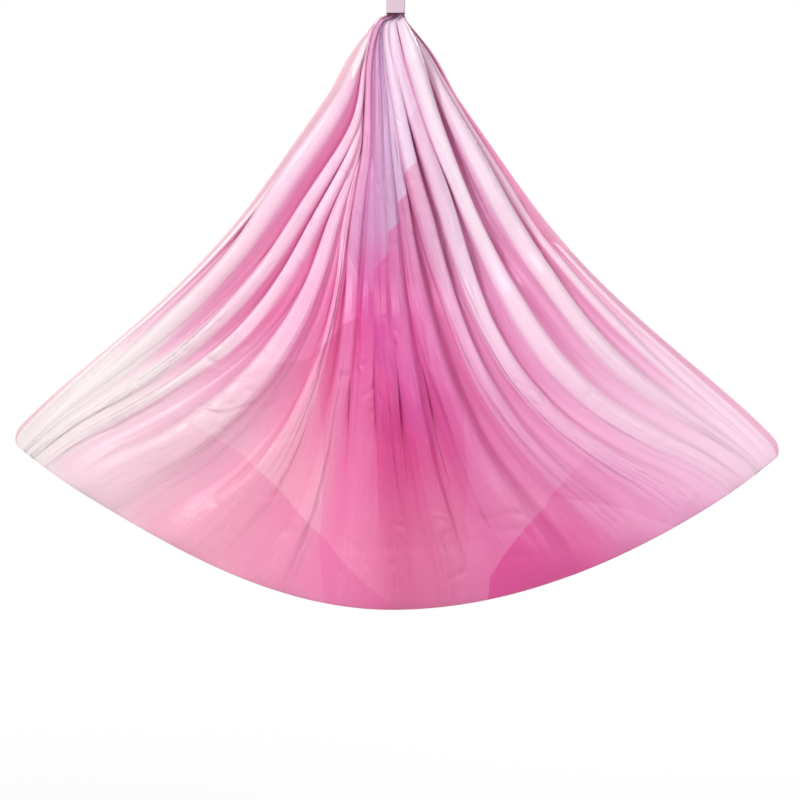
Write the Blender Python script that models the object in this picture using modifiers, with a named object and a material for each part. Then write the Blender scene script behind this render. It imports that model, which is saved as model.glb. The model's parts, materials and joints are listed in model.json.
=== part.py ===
"""Aerial hammock on a single-point rig.

One wide cloth hangs as a loop: front layer, turned bottom edge, back layer. Each end is gathered under
a sewn cuff and held by a webbing loop. Both loops lie on the bar of the lower carabiner, which hangs from
the lower eye of a ball-bearing swivel. The swivel's upper eye hangs on the top carabiner.

The origin is where the top carabiner hangs: the inner face of its top bar. Metres, +Z up, the front is -Y.
"""

import math

import bmesh
import bpy
from mathutils import Matrix, Vector

# Clearance between metal pieces, and between a strap and what it lies on.
CLEARANCE = 0.0003

# Top carabiner: an oval one, in the XZ plane.
TOP_BAR_RADIUS = 0.0055
TOP_HEIGHT = 0.101
TOP_HALF_WIDTH = 0.0265
TOP_CORNER_RADIUS = 0.020
TOP_GATE_SPAN = 0.048

# Lower carabiner: a pear-shaped one, in the YZ plane, wide at its lower bar.
LOWER_BAR_RADIUS = 0.006
LOWER_HEIGHT = 0.113
LOWER_HALF_WIDTH_TOP = 0.020
LOWER_HALF_WIDTH_BOTTOM = 0.035
LOWER_TOP_CORNER_RADIUS = 0.017
LOWER_BOTTOM_CORNER_RADIUS = 0.014
LOWER_GATE_SPAN = 0.062

# What both carabiners share.
PIVOT_SETBACK = 0.0045
TANG_THICKNESS = 0.004
TANG_REACH = 0.0045
PIN_RADIUS = 0.0016
TONGUE_LENGTH = 0.005
NOSE_GAP = 0.0007
BORE_RADIUS = 0.0028
PLUNGER_LENGTH = 0.009
SPRING_LENGTH = 0.015
SPRING_WIRE_RADIUS = 0.00035
SPRING_TURNS = 7
PLUNGER_STEM_SHARE = 0.6
SLEEVE_WALL = 0.0032
SLEEVE_LENGTH = 0.027
SLEEVE_TONGUE_GAP = 0.0015
SLEEVE_FLUTES = 12
SLEEVE_FLUTE_RADIUS = 0.0013

# Swivel.
EYE_HOLE_RADIUS = 0.012
EYE_RIM = 0.010
EYE_THICKNESS = 0.014
EYE_EDGE_ROUND = 0.0025
EYE_FOOT_HALF_WIDTH = 0.0144
UPPER_EYE_SINK = 0.003
LOWER_EYE_SINK = 0.004
HOUSING_RADIUS = 0.021
HOUSING_WALL = 0.005
HOUSING_HEIGHT = 0.032
HOUSING_EDGE = 0.002
FLANGE_THICKNESS = 0.005
PLUG_DEPTH = 0.006
SHAFT_RADIUS = 0.006
BUSH_WALL = 0.0014
BUSH_FLANGE_RADIUS = 0.0095
BUSH_FLANGE_THICKNESS = 0.0012
COLLAR_RADIUS = 0.0145
COLLAR_THICKNESS = 0.0045
COLLAR_GAP = 0.0035
RACE_THICKNESS = 0.003
GROOVE_DEPTH = 0.001
BALL_RADIUS = 0.0025
BALL_COUNT = 10
BALL_CIRCLE_RADIUS = 0.0115
CAGE_THICKNESS = 0.0016
NUT_HEIGHT = 0.007
NUT_HALF_FLATS = 0.010
NUT_PIN_RADIUS = 0.00125
SHAFT_END = 0.0015

# Webbing loops and cuffs.
STRAP_WIDTH = 0.016
STRAP_THICKNESS = 0.003
LOOP_SPACE = 0.002
LOOP_DROP = 0.050
CUFF_HEIGHT = 0.045
CUFF_WALL = 0.0025
NECK_HALF_WIDTH = 0.025
NECK_HALF_DEPTH = 0.0115

# Cloth: a fan below an apex that lies inside the cuffs. The shift brings its weight under the hanging line.
CLOTH_THICKNESS = 0.0013
APEX_DROP = 0.010
FAN_SHIFT = -0.0125
FAN_REACH = 2.003
LEFT_REACH = 1.914
RIGHT_REACH = 1.965
TIP_ANGLE = math.radians(40.7)
WAIST_ANGLE = math.radians(34.9)
NECK_ANGLE = math.radians(40.0)

# Where the side edges bend, as shares of the way from the apex to the bottom edge.
NECK_END_SHARE = 0.08
WAIST_TOP_SHARE = 0.20
WAIST_BOTTOM_SHARE = 0.35

# Share of the half angle at which the bottom edge has come down to its side's reach.
TIP_SHARE = 0.75

# Folds and the space between the two layers. The belly is fullest halfway down, and a power rounds it off.
FOLDS = 10
FOLD_DEPTH = 0.024
POCKET_HALF_DEPTH = 0.085
SELVEDGE_HALF_DEPTH = 0.022
SELVEDGE_FOLD_SHARE = 0.3
BELLY_END_SHARE = 0.93
BELLY_POWER_SHARE = 0.7
SWAG_SHARE = 0.8

# Rows of the sheet on each side, each with how full its folds are: the cuff's top and bottom, then reaches
# from the apex.
CUFF_TOP = -2
CUFF_BOTTOM = -1
FOLD_ROW_SHARES = (
    (CUFF_TOP, 1.0),
    (CUFF_BOTTOM, 1.0),
    (0.055, 1.0),
    (0.22, 1.0),
    (0.45, 1.0),
    (0.72, 0.9),
    (0.93, 0.5),
)

# Facets of round pieces.
BAR_SIDES_RESOLUTION = 6
ARC_STEPS = 8
EYE_STEPS = 24
TURNED_STEPS = 32


def remove_everything():
    for existing in list(bpy.data.objects):
        bpy.data.objects.remove(existing, do_unlink=True)


def new_collection(name):
    collection = bpy.data.collections.new(name)
    bpy.context.scene.collection.children.link(collection)
    return collection


def new_material(name, colour, roughness, metallic):
    material = bpy.data.materials.new(name)
    material.use_nodes = True
    shader = material.node_tree.nodes["Principled BSDF"]
    shader.inputs["Base Color"].default_value = (*colour, 1.0)
    shader.inputs["Roughness"].default_value = roughness
    shader.inputs["Metallic"].default_value = metallic
    return material


def shade_round(mesh):
    mesh.shade_smooth()
    mesh.set_sharp_from_angle(angle=math.radians(40))


def place(name, mesh, parent=None, material=None, cutter=False):
    """A new object at its parent's origin, in the part's collection or among the cutters."""
    added = bpy.data.objects.new(name, mesh)
    (cutters if cutter else parts).objects.link(added)
    added.parent = parent
    if material:
        mesh.materials.append(material)
    if cutter:
        added.hide_render = True
        added.display_type = "WIRE"
    return added


def place_empty(name, location, parent=None, rotation=(0, 0, 0)):
    empty = bpy.data.objects.new(name, None)
    parts.objects.link(empty)
    empty.parent = parent
    empty.location = location
    empty.rotation_euler = rotation
    return empty


def combine(target, operand, operation):
    modifier = target.modifiers.new(operation.title(), "BOOLEAN")
    modifier.operation = operation
    modifier.solver = "EXACT"
    modifier.object = operand


def mesh_from_curve(curve):
    """The curve's mesh with its loose caps welded."""
    source = bpy.data.objects.new("curve", curve)
    parts.objects.link(source)
    bpy.context.view_layer.update()
    evaluated = source.evaluated_get(bpy.context.evaluated_depsgraph_get())
    mesh = bpy.data.meshes.new_from_object(evaluated)
    bpy.data.objects.remove(source, do_unlink=True)
    welded = bmesh.new()
    welded.from_mesh(mesh)
    bmesh.ops.remove_doubles(welded, verts=welded.verts, dist=0.00001)
    welded.to_mesh(mesh)
    welded.free()
    return mesh


def tube_mesh(points, radius, bevel_resolution):
    curve = bpy.data.curves.new("tube", "CURVE")
    curve.dimensions = "3D"
    curve.bevel_depth = radius
    curve.bevel_resolution = bevel_resolution
    curve.use_fill_caps = True
    spline = curve.splines.new("POLY")
    spline.points.add(len(points) - 1)
    for point, target in zip(points, spline.points):
        target.co = (*point, 1.0)
    mesh = mesh_from_curve(curve)
    shade_round(mesh)
    return mesh


def plate_mesh(outlines, thickness):
    """A plate in the XZ plane, centred on y = 0. The first outline is its edge, the others are holes."""
    curve = bpy.data.curves.new("plate", "CURVE")
    curve.dimensions = "2D"
    curve.fill_mode = "BOTH"
    curve.extrude = thickness / 2
    for outline in outlines:
        spline = curve.splines.new("POLY")
        spline.use_cyclic_u = True
        spline.points.add(len(outline) - 1)
        for (across, up), target in zip(outline, spline.points):
            target.co = (across, up, 0, 1)
    mesh = mesh_from_curve(curve)
    mesh.transform(Matrix.Rotation(math.radians(90), 4, "X"))
    shade_round(mesh)
    return mesh


def turned(name, profile, parent, material=None, cutter=False, closed=True):
    """A piece turned about Z. A closed profile is a ring; an open one runs from axis to axis, top first."""
    mesh = bpy.data.meshes.new(name)
    edges = [(i, i + 1) for i in range(len(profile) - 1)]
    if closed:
        edges.append((len(profile) - 1, 0))
    mesh.from_pydata([(radius, 0, height) for radius, height in profile], edges, [])
    piece = place(name, mesh, parent, material, cutter)
    screw = piece.modifiers.new("Turn", "SCREW")
    screw.steps = TURNED_STEPS
    screw.render_steps = TURNED_STEPS
    screw.use_merge_vertices = True
    screw.merge_threshold = 0.00001
    screw.use_smooth_shade = False
    return piece


def ring_profile(inner, outer, top, bottom, edge=0.0):
    """A rectangular ring section, outer side downwards, with its outer corners cut back by `edge`."""
    if not edge:
        return [(inner, top), (outer, top), (outer, bottom), (inner, bottom)]
    return [
        (inner, top),
        (outer - edge, top),
        (outer, top - edge),
        (outer, bottom + edge),
        (outer - edge, bottom),
        (inner, bottom),
    ]


def cylinder_mesh(radius, length, sides, matrix=None):
    """A cylinder along Z, centred on the origin before `matrix` moves it."""
    shape = bmesh.new()
    bmesh.ops.create_cone(
        shape, cap_ends=True, segments=sides, radius1=radius, radius2=radius, depth=length
    )
    if matrix:
        shape.transform(matrix)
    mesh = bpy.data.meshes.new("cylinder")
    shape.to_mesh(mesh)
    shape.free()
    shade_round(mesh)
    return mesh


def box_mesh(size, centre):
    shape = bmesh.new()
    bmesh.ops.create_cube(shape, size=1.0)
    shape.transform(Matrix.Translation(centre) @ Matrix.Diagonal((*size, 1.0)))
    mesh = bpy.data.meshes.new("box")
    shape.to_mesh(mesh)
    shape.free()
    return mesh


def joined_mesh(meshes):
    """Several meshes as one, each still a body of its own."""
    shape = bmesh.new()
    for mesh in meshes:
        shape.from_mesh(mesh)
    joined = bpy.data.meshes.new("joined")
    shape.to_mesh(joined)
    shape.free()
    return joined


def arc(centre, radius, start, end, steps):
    """Points of an arc, angles in radians from +X towards the second axis."""
    angles = [start + (end - start) * step / steps for step in range(steps + 1)]
    return [
        (centre[0] + radius * math.cos(angle), centre[1] + radius * math.sin(angle))
        for angle in angles
    ]


def circle(centre, radius, steps):
    return arc(centre, radius, 0, 2 * math.pi, steps)[:-1]


def rounded_corner(before, corner, after, radius, steps):
    """Points of the arc that rounds a corner of a path in a plane."""
    into = (corner - before).normalized()
    out = (after - corner).normalized()
    turn = into.angle(out)
    start = corner - into * radius * math.tan(turn / 2)
    inward = (out - into * into.dot(out)).normalized()
    centre = start + inward * radius
    angles = [turn * step / steps for step in range(steps + 1)]
    return [
        centre - inward * radius * math.cos(angle) + into * radius * math.sin(angle)
        for angle in angles
    ]


def smooth_step(value):
    value = min(max(value, 0.0), 1.0)
    return value * value * (3 - 2 * value)


class CarabinerShape:
    """Centre line of a carabiner's bar, in its own XZ plane, with the top bar's centre at the origin."""

    def __init__(self, bar_radius, height, half_widths, corner_radii, gate_span):
        top_left = Vector((-half_widths[0], 0))
        top_right = Vector((half_widths[0], 0))
        bottom_right = Vector((half_widths[1], -height))
        bottom_left = Vector((-half_widths[1], -height))
        top_radius, bottom_radius = corner_radii
        self.bar_radius = bar_radius
        self.down_gate = (bottom_right - top_right).normalized()
        self.tilt = math.atan2(-self.down_gate.x, -self.down_gate.y)
        hinge_corner = rounded_corner(top_left, top_right, bottom_right, top_radius, ARC_STEPS)
        self.pivot = hinge_corner[-1] + self.down_gate * PIVOT_SETBACK
        self.nose = self.pivot + self.down_gate * gate_span
        self.gate_span = gate_span
        nose_corner = rounded_corner(top_right, bottom_right, bottom_left, bottom_radius, ARC_STEPS)
        self.bar = [self.nose - self.down_gate * TONGUE_LENGTH]
        self.bar += nose_corner
        self.bar += rounded_corner(bottom_right, bottom_left, top_left, bottom_radius, ARC_STEPS)
        self.bar += rounded_corner(bottom_left, top_left, top_right, top_radius, ARC_STEPS)
        self.bar += hinge_corner
        self.bar += [self.pivot + self.down_gate * TANG_REACH]


def cheek_cutters(bar_radius, centre, length):
    """Two blocks, along the gate's axis, that leave a tang of TANG_THICKNESS between them."""
    depth = 2 * bar_radius
    offset = TANG_THICKNESS / 2 + depth / 2
    size = (4 * bar_radius, depth, length)
    return [box_mesh(size, (0, side * offset, centre)) for side in (-1, 1)]


def add_frame(prefix, shape, body, gate_axis, material):
    """The bar, with a tang for the gate's hinge and a tongue at the nose."""
    path = [(point.x, 0, point.y) for point in shape.bar]
    frame = place(
        f"{prefix}_frame",
        tube_mesh(path, shape.bar_radius, BAR_SIDES_RESOLUTION),
        body,
        material,
    )
    shoulder = shape.bar_radius + 2 * CLEARANCE
    tang_length = shoulder + 2 * TANG_REACH
    tang_centre = shoulder - tang_length / 2
    tongue_centre = -shape.gate_span + TONGUE_LENGTH
    cheeks = cheek_cutters(shape.bar_radius, tang_centre, tang_length)
    cheeks += cheek_cutters(shape.bar_radius, tongue_centre, 2 * TONGUE_LENGTH)
    combine(frame, place(f"{prefix}_cheeks", joined_mesh(cheeks), gate_axis, cutter=True), "DIFFERENCE")
    across = Matrix.Rotation(math.radians(90), 4, "X")
    hole = cylinder_mesh(PIN_RADIUS + CLEARANCE, 4 * shape.bar_radius, 16, across)
    combine(frame, place(f"{prefix}_tang_hole", hole, gate_axis, cutter=True), "DIFFERENCE")


def add_gate(prefix, shape, gate_axis, material):
    """The gate: a round bar, forked at both ends, with a bore for the spring and plunger."""
    radius = shape.bar_radius
    end = -shape.gate_span + NOSE_GAP
    outline = arc((0, 0), radius, 0, math.pi, 2 * ARC_STEPS) + [(-radius, end), (radius, end)]
    gate = place(f"{prefix}_gate", plate_mesh([outline], 4 * radius), gate_axis, material)
    length = shape.gate_span + 2 * radius
    middle = Matrix.Translation((0, 0, radius - length / 2))
    round_bar = cylinder_mesh(radius, length, 24, middle)
    combine(gate, place(f"{prefix}_gate_round", round_bar, gate_axis, cutter=True), "INTERSECT")
    slot = TANG_THICKNESS + 2 * CLEARANCE
    hinge_depth = slot_depth(radius)
    nose_depth = TONGUE_LENGTH + 2 * CLEARANCE
    slots = [
        box_mesh((4 * radius, slot, 2 * hinge_depth), (0, 0, 0)),
        box_mesh((4 * radius, slot, 2 * nose_depth), (0, 0, -shape.gate_span)),
    ]
    combine(gate, place(f"{prefix}_gate_slots", joined_mesh(slots), gate_axis, cutter=True), "DIFFERENCE")
    bore_end = bore_bottom()
    bore_top = 2 * radius
    bore = cylinder_mesh(
        BORE_RADIUS, bore_top - bore_end, 20, Matrix.Translation((0, 0, (bore_top + bore_end) / 2))
    )
    combine(gate, place(f"{prefix}_gate_bore", bore, gate_axis, cutter=True), "DIFFERENCE")
    across = Matrix.Rotation(math.radians(90), 4, "X")
    hole = cylinder_mesh(PIN_RADIUS + CLEARANCE, 4 * radius, 16, across)
    combine(gate, place(f"{prefix}_gate_hole", hole, gate_axis, cutter=True), "DIFFERENCE")


def slot_depth(bar_radius):
    """How far below the pin the gate's upper slot reaches, so that the tang's corners turn clear of it."""
    return math.hypot(TANG_REACH, bar_radius) + CLEARANCE


def plunger_top():
    return -(TANG_REACH + CLEARANCE)


def bore_bottom():
    """Height of the bore's blind end on the gate's axis."""
    return plunger_top() - PLUNGER_LENGTH - SPRING_LENGTH - 2 * CLEARANCE


def add_gate_pin(prefix, shape, gate_axis, material):
    """The hinge pin, with its ends flush with the gate's round."""
    flush = math.sqrt(shape.bar_radius**2 - PIN_RADIUS**2) - CLEARANCE / 2
    across = Matrix.Rotation(math.radians(90), 4, "X")
    place(f"{prefix}_gate_pin", cylinder_mesh(PIN_RADIUS, 2 * flush, 16, across), gate_axis, material)


def add_plunger(prefix, gate_axis, material):
    """The plunger that the spring presses on the tang's flat end."""
    radius = BORE_RADIUS - CLEARANCE
    stem = radius * PLUNGER_STEM_SHARE
    top = plunger_top()
    head = PLUNGER_LENGTH / 3
    profile = [
        (0, top),
        (stem, top),
        (radius, top - (radius - stem)),
        (radius, top - PLUNGER_LENGTH + head / 2),
        (radius - head / 4, top - PLUNGER_LENGTH),
        (0, top - PLUNGER_LENGTH),
    ]
    turned(f"{prefix}_gate_plunger", profile, gate_axis, material, closed=False)


def add_spring(prefix, gate_axis, material):
    """The gate's coil spring, seated between the plunger and the bore's end."""
    radius = BORE_RADIUS - CLEARANCE - SPRING_WIRE_RADIUS
    bottom = bore_bottom() + CLEARANCE + SPRING_WIRE_RADIUS
    rise = SPRING_LENGTH - 2 * SPRING_WIRE_RADIUS
    per_turn = 9
    count = SPRING_TURNS * per_turn
    points = []
    for step in range(count + 1):
        angle = 2 * math.pi * step / per_turn
        points.append(
            (radius * math.cos(angle), radius * math.sin(angle), bottom + rise * step / count)
        )
    gap = min(
        math.dist(points[i], points[j])
        for i in range(len(points))
        for j in range(i + per_turn // 2, len(points))
    )
    print(f"{prefix}_gate_spring: least gap to itself {1000 * (gap - 2 * SPRING_WIRE_RADIUS):.2f} mm")
    mesh = tube_mesh(points, SPRING_WIRE_RADIUS, 1)
    place(f"{prefix}_gate_spring", mesh, gate_axis, material)


def add_sleeve(prefix, shape, gate_axis, material):
    """The fluted lock sleeve, unlocked: just above the tongue. It moves down over the nose to lock."""
    inner = shape.bar_radius + CLEARANCE
    outer = inner + SLEEVE_WALL
    bottom = -shape.gate_span + TONGUE_LENGTH + SLEEVE_TONGUE_GAP
    top = bottom + SLEEVE_LENGTH
    edge = SLEEVE_WALL / 3
    sleeve = turned(
        f"{prefix}_lock_sleeve", ring_profile(inner, outer, top, bottom, edge), gate_axis, material
    )
    flutes = []
    for number in range(SLEEVE_FLUTES):
        angle = 2 * math.pi * number / SLEEVE_FLUTES
        spot = (
            (outer + SLEEVE_FLUTE_RADIUS / 3) * math.cos(angle),
            (outer + SLEEVE_FLUTE_RADIUS / 3) * math.sin(angle),
            (top + bottom) / 2,
        )
        flutes.append(
            cylinder_mesh(
                SLEEVE_FLUTE_RADIUS, SLEEVE_LENGTH - 4 * SLEEVE_WALL / 3, 8, Matrix.Translation(spot)
            )
        )
    combine(sleeve, place(f"{prefix}_flutes", joined_mesh(flutes), gate_axis, cutter=True), "DIFFERENCE")


def add_carabiner(prefix, shape, body, frame_material, sleeve_material, inner_material):
    pivot = (shape.pivot.x, 0, shape.pivot.y)
    gate_axis = place_empty(f"{prefix}_gate_axis", pivot, body, (0, shape.tilt, 0))
    add_frame(prefix, shape, body, gate_axis, frame_material)
    add_gate(prefix, shape, gate_axis, frame_material)
    add_gate_pin(prefix, shape, gate_axis, inner_material)
    add_plunger(prefix, gate_axis, inner_material)
    add_spring(prefix, gate_axis, inner_material)
    add_sleeve(prefix, shape, gate_axis, sleeve_material)


def eye_outline(foot_half_width, foot_height):
    """Round eye about the origin whose sides run straight to a foot on the side of `foot_height`."""
    radius = EYE_HOLE_RADIUS + EYE_RIM
    side = 1 if foot_height > 0 else -1
    reach = math.hypot(foot_half_width, foot_height)
    tangent = math.acos(min(radius / reach, 1.0))
    foot = math.atan2(abs(foot_height), foot_half_width)
    start = foot - tangent
    end = math.pi - start
    sweep = arc((0, 0), radius, start, end - 2 * math.pi, 2 * EYE_STEPS // 3)
    points = [(foot_half_width, abs(foot_height))] + sweep + [(-foot_half_width, abs(foot_height))]
    return [(across, side * up) for across, up in points]


def add_eye(name, body, eye_centre, foot_height, turn, material, stem_profile):
    """A swivel's eye: a rounded plate with a hole, joined to its turned stem."""
    outline = eye_outline(EYE_FOOT_HALF_WIDTH, foot_height)
    hole = circle((0, 0), EYE_HOLE_RADIUS, EYE_STEPS)
    mesh = plate_mesh([outline, hole], EYE_THICKNESS)
    mesh.transform(Matrix.Translation((0, 0, eye_centre)) @ Matrix.Rotation(turn, 4, "Z"))
    eye = place(name, mesh, body, material)
    rounding = eye.modifiers.new("Rounded edges", "BEVEL")
    rounding.width = EYE_EDGE_ROUND
    rounding.segments = 1
    rounding.limit_method = "ANGLE"
    rounding.angle_limit = math.radians(60)
    rounding.use_clamp_overlap = False
    stem = turned(f"{name}_stem", stem_profile, body, cutter=True, closed=False)
    combine(eye, stem, "UNION")
    return eye


def add_swivel(body, lower_body, metal, steel, seal_material, bronze):
    """Upper eye and housing on `body`; shaft, nut and lower eye on `lower_body`. Both share one origin."""
    flange_top = -(EYE_HOLE_RADIUS + EYE_RIM - UPPER_EYE_SINK)
    flange_bottom = flange_top - FLANGE_THICKNESS
    plug_bottom = flange_bottom - PLUG_DEPTH
    cavity_radius = HOUSING_RADIUS - HOUSING_WALL
    stem = [
        (0, flange_top),
        (HOUSING_RADIUS - HOUSING_EDGE, flange_top),
        (HOUSING_RADIUS, flange_top - HOUSING_EDGE),
        (HOUSING_RADIUS, flange_bottom),
        (cavity_radius - CLEARANCE, flange_bottom),
        (cavity_radius - CLEARANCE, plug_bottom),
        (0, plug_bottom),
    ]
    foot = flange_top - FLANGE_THICKNESS / 2
    add_eye("swivel_upper_eye", body, 0, foot, math.radians(90), metal, stem)

    housing_top = flange_bottom - CLEARANCE
    housing_bottom = housing_top - HOUSING_HEIGHT
    floor = housing_bottom + HOUSING_WALL
    bush_outer = SHAFT_RADIUS + CLEARANCE + BUSH_WALL
    housing = [
        (cavity_radius, housing_top),
        (HOUSING_RADIUS, housing_top),
        (HOUSING_RADIUS, housing_bottom + HOUSING_EDGE),
        (HOUSING_RADIUS - HOUSING_EDGE, housing_bottom),
        (bush_outer + CLEARANCE, housing_bottom),
        (bush_outer + CLEARANCE, floor),
        (cavity_radius, floor),
    ]
    turned("swivel_housing", housing, body, metal)

    bush = [
        (SHAFT_RADIUS + CLEARANCE, floor - CLEARANCE),
        (bush_outer, floor - CLEARANCE),
        (bush_outer, housing_bottom - CLEARANCE),
        (BUSH_FLANGE_RADIUS, housing_bottom - CLEARANCE),
        (BUSH_FLANGE_RADIUS, housing_bottom - CLEARANCE - BUSH_FLANGE_THICKNESS),
        (SHAFT_RADIUS + CLEARANCE, housing_bottom - CLEARANCE - BUSH_FLANGE_THICKNESS),
    ]
    turned("swivel_bush", bush, body, bronze)

    seal_radius = (COLLAR_GAP - 2 * CLEARANCE) / 2
    seal_centre = BUSH_FLANGE_RADIUS + CLEARANCE + seal_radius
    seal_height = housing_bottom - COLLAR_GAP / 2
    seal = arc((seal_centre, seal_height), seal_radius, math.pi, -math.pi, ARC_STEPS)[:-1]
    turned("swivel_seal", seal, body, seal_material)

    lower_race_bottom = floor + CLEARANCE
    groove_radius = BALL_RADIUS + CLEARANCE
    ball_height = lower_race_bottom + RACE_THICKNESS - GROOVE_DEPTH + groove_radius
    reach = groove_radius - GROOVE_DEPTH
    half_angle = math.acos(reach / groove_radius)
    lower_groove = arc(
        (BALL_CIRCLE_RADIUS, 0), groove_radius, -math.pi / 2 - half_angle, -math.pi / 2 + half_angle, 4
    )
    race_outer = cavity_radius - CLEARANCE
    lower_race = [(bush_outer, -reach)] + lower_groove
    lower_race += [
        (race_outer, -reach),
        (race_outer, -reach - RACE_THICKNESS),
        (bush_outer, -reach - RACE_THICKNESS),
    ]
    lower_race = [(radius, height + ball_height) for radius, height in lower_race]
    turned("swivel_lower_race", lower_race, body, steel)

    race_inner = SHAFT_RADIUS + CLEARANCE
    upper_outer = race_outer - 2 * CLEARANCE
    upper_groove = arc(
        (BALL_CIRCLE_RADIUS, 0), groove_radius, math.pi / 2 - half_angle, math.pi / 2 + half_angle, 4
    )
    upper_race = [
        (race_inner, reach + RACE_THICKNESS),
        (upper_outer, reach + RACE_THICKNESS),
        (upper_outer, reach),
    ]
    upper_race += upper_groove + [(race_inner, reach)]
    upper_race = [(radius, height + ball_height) for radius, height in upper_race]
    turned("swivel_upper_race", upper_race, lower_body, steel)

    cage_axis = place_empty("swivel_cage_axis", (0, 0, ball_height), body)
    cage_inner = race_inner + 4 * CLEARANCE
    cage_outer = race_outer - 2 * CLEARANCE
    half_cage = CAGE_THICKNESS / 2
    cage = turned(
        "swivel_cage", ring_profile(cage_inner, cage_outer, half_cage, -half_cage), cage_axis, bronze
    )
    spots = circle((0, 0), BALL_CIRCLE_RADIUS, BALL_COUNT)
    pockets = [
        cylinder_mesh(groove_radius, 2 * CAGE_THICKNESS, 16, Matrix.Translation((x, y, 0)))
        for x, y in spots
    ]
    combine(cage, place("swivel_cage_pockets", joined_mesh(pockets), cage_axis, cutter=True), "DIFFERENCE")
    shape = bmesh.new()
    bmesh.ops.create_icosphere(shape, subdivisions=2, radius=BALL_RADIUS)
    ball_mesh = bpy.data.meshes.new("swivel_ball")
    shape.to_mesh(ball_mesh)
    shape.free()
    shade_round(ball_mesh)
    ball_mesh.materials.append(steel)
    for number, (x, y) in enumerate(spots, start=1):
        ball = place(f"swivel_ball_{number}", ball_mesh, cage_axis)
        ball.location = (x, y, 0)

    nut_bottom = ball_height + reach + RACE_THICKNESS + CLEARANCE
    nut_centre = nut_bottom + NUT_HEIGHT / 2
    hexagon = circle((0, 0), NUT_HALF_FLATS / math.cos(math.radians(30)), 6)
    nut_mesh = plate_mesh([hexagon, circle((0, 0), race_inner, TURNED_STEPS)], NUT_HEIGHT)
    nut_mesh.transform(Matrix.Translation((0, 0, nut_centre)) @ Matrix.Rotation(math.radians(-90), 4, "X"))
    nut = place("swivel_nut", nut_mesh, lower_body, steel)
    along = Matrix.Translation((0, 0, nut_centre)) @ Matrix.Rotation(math.radians(90), 4, "X")
    pin_hole = place(
        "swivel_pin_hole",
        cylinder_mesh(NUT_PIN_RADIUS + CLEARANCE, 4 * NUT_HALF_FLATS, 12, along),
        lower_body,
        cutter=True,
    )
    combine(nut, pin_hole, "DIFFERENCE")
    pin_mesh = cylinder_mesh(NUT_PIN_RADIUS, 2 * NUT_HALF_FLATS - 2 * CLEARANCE, 12, along)
    place("swivel_nut_pin", pin_mesh, lower_body, steel)

    collar_top = housing_bottom - COLLAR_GAP
    collar_bottom = collar_top - COLLAR_THICKNESS
    shaft_top = nut_bottom + NUT_HEIGHT + SHAFT_END
    lower_eye_centre = collar_bottom - EYE_HOLE_RADIUS - EYE_RIM + LOWER_EYE_SINK
    shaft = [
        (0, shaft_top),
        (SHAFT_RADIUS, shaft_top),
        (SHAFT_RADIUS, collar_top),
        (COLLAR_RADIUS, collar_top),
        (COLLAR_RADIUS, collar_bottom),
        (0, collar_bottom),
    ]
    foot = collar_bottom + COLLAR_THICKNESS / 2 - lower_eye_centre
    lower_eye = add_eye("swivel_lower_eye", lower_body, lower_eye_centre, foot, 0, metal, shaft)
    combine(lower_eye, pin_hole, "DIFFERENCE")
    return lower_eye_centre


def strap_outline(bar_radius, half_spread, drop, tail):
    """A webbing loop's edge in the XZ plane: over the bar at the origin, down both sides, ends straight."""
    inner = bar_radius + CLEARANCE
    outer = inner + STRAP_THICKNESS
    lean = math.asin((half_spread - inner) / math.hypot(half_spread, drop)) if drop else 0.0
    start = lean / 2
    over_outer = arc((0, 0), outer, -start, math.pi + start, 2 * ARC_STEPS)
    over_inner = arc((0, 0), inner, math.pi + start, -start, 2 * ARC_STEPS)
    outer_leg = half_spread + STRAP_THICKNESS
    end = -drop - tail
    left = [(-outer_leg, -drop), (-outer_leg, end), (-half_spread, end), (-half_spread, -drop)]
    right = [(half_spread, -drop), (half_spread, end), (outer_leg, end), (outer_leg, -drop)]
    return over_outer + left + over_inner + right


def racetrack(half_width, half_depth, radius):
    """A rectangle with rounded corners, counter-clockwise."""
    points = []
    for quarter, (across, up) in enumerate(((1, 1), (-1, 1), (-1, -1), (1, -1))):
        centre = (across * (half_width - radius), up * (half_depth - radius))
        start = quarter * math.pi / 2
        points += arc(centre, radius, start, start + math.pi / 2, ARC_STEPS // 2)
    return points


def add_sling(side, name, hang, bar_radius, webbing, cuff_material):
    """One end's webbing loop and cuff. `side` is -1 at the front and 1 at the back."""
    half_spread = NECK_HALF_WIDTH + CLEARANCE
    tail = CUFF_HEIGHT - STRAP_WIDTH / 2
    loop_mesh = plate_mesh([strap_outline(bar_radius, half_spread, LOOP_DROP, tail)], STRAP_WIDTH)
    at_bar = side * (LOOP_SPACE + STRAP_WIDTH) / 2
    at_cuff = side * cuff_centre()
    for vertex in loop_mesh.vertices:
        down = smooth_step(-vertex.co.z / LOOP_DROP)
        vertex.co.y += at_bar + (at_cuff - at_bar) * down
    place(f"{name}_loop", loop_mesh, hang, webbing)

    inner_width = half_spread + STRAP_THICKNESS + CLEARANCE
    inner_depth = NECK_HALF_DEPTH + CLEARANCE
    corner = inner_depth - STRAP_WIDTH / 2 - CLEARANCE
    outer = racetrack(inner_width + CUFF_WALL, inner_depth + CUFF_WALL, corner + CUFF_WALL)
    inner = racetrack(inner_width, inner_depth, corner)
    cuff_mesh = plate_mesh([outer, inner], CUFF_HEIGHT)
    cuff_mesh.transform(Matrix.Rotation(math.radians(-90), 4, "X"))
    cuff_mesh.transform(Matrix.Translation((0, at_cuff, -LOOP_DROP - CUFF_HEIGHT / 2)))
    place(f"{name}_cuff", cuff_mesh, hang, cuff_material)


def cuff_centre():
    return NECK_HALF_DEPTH + CLEARANCE + CUFF_WALL + LOOP_SPACE / 4


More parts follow.
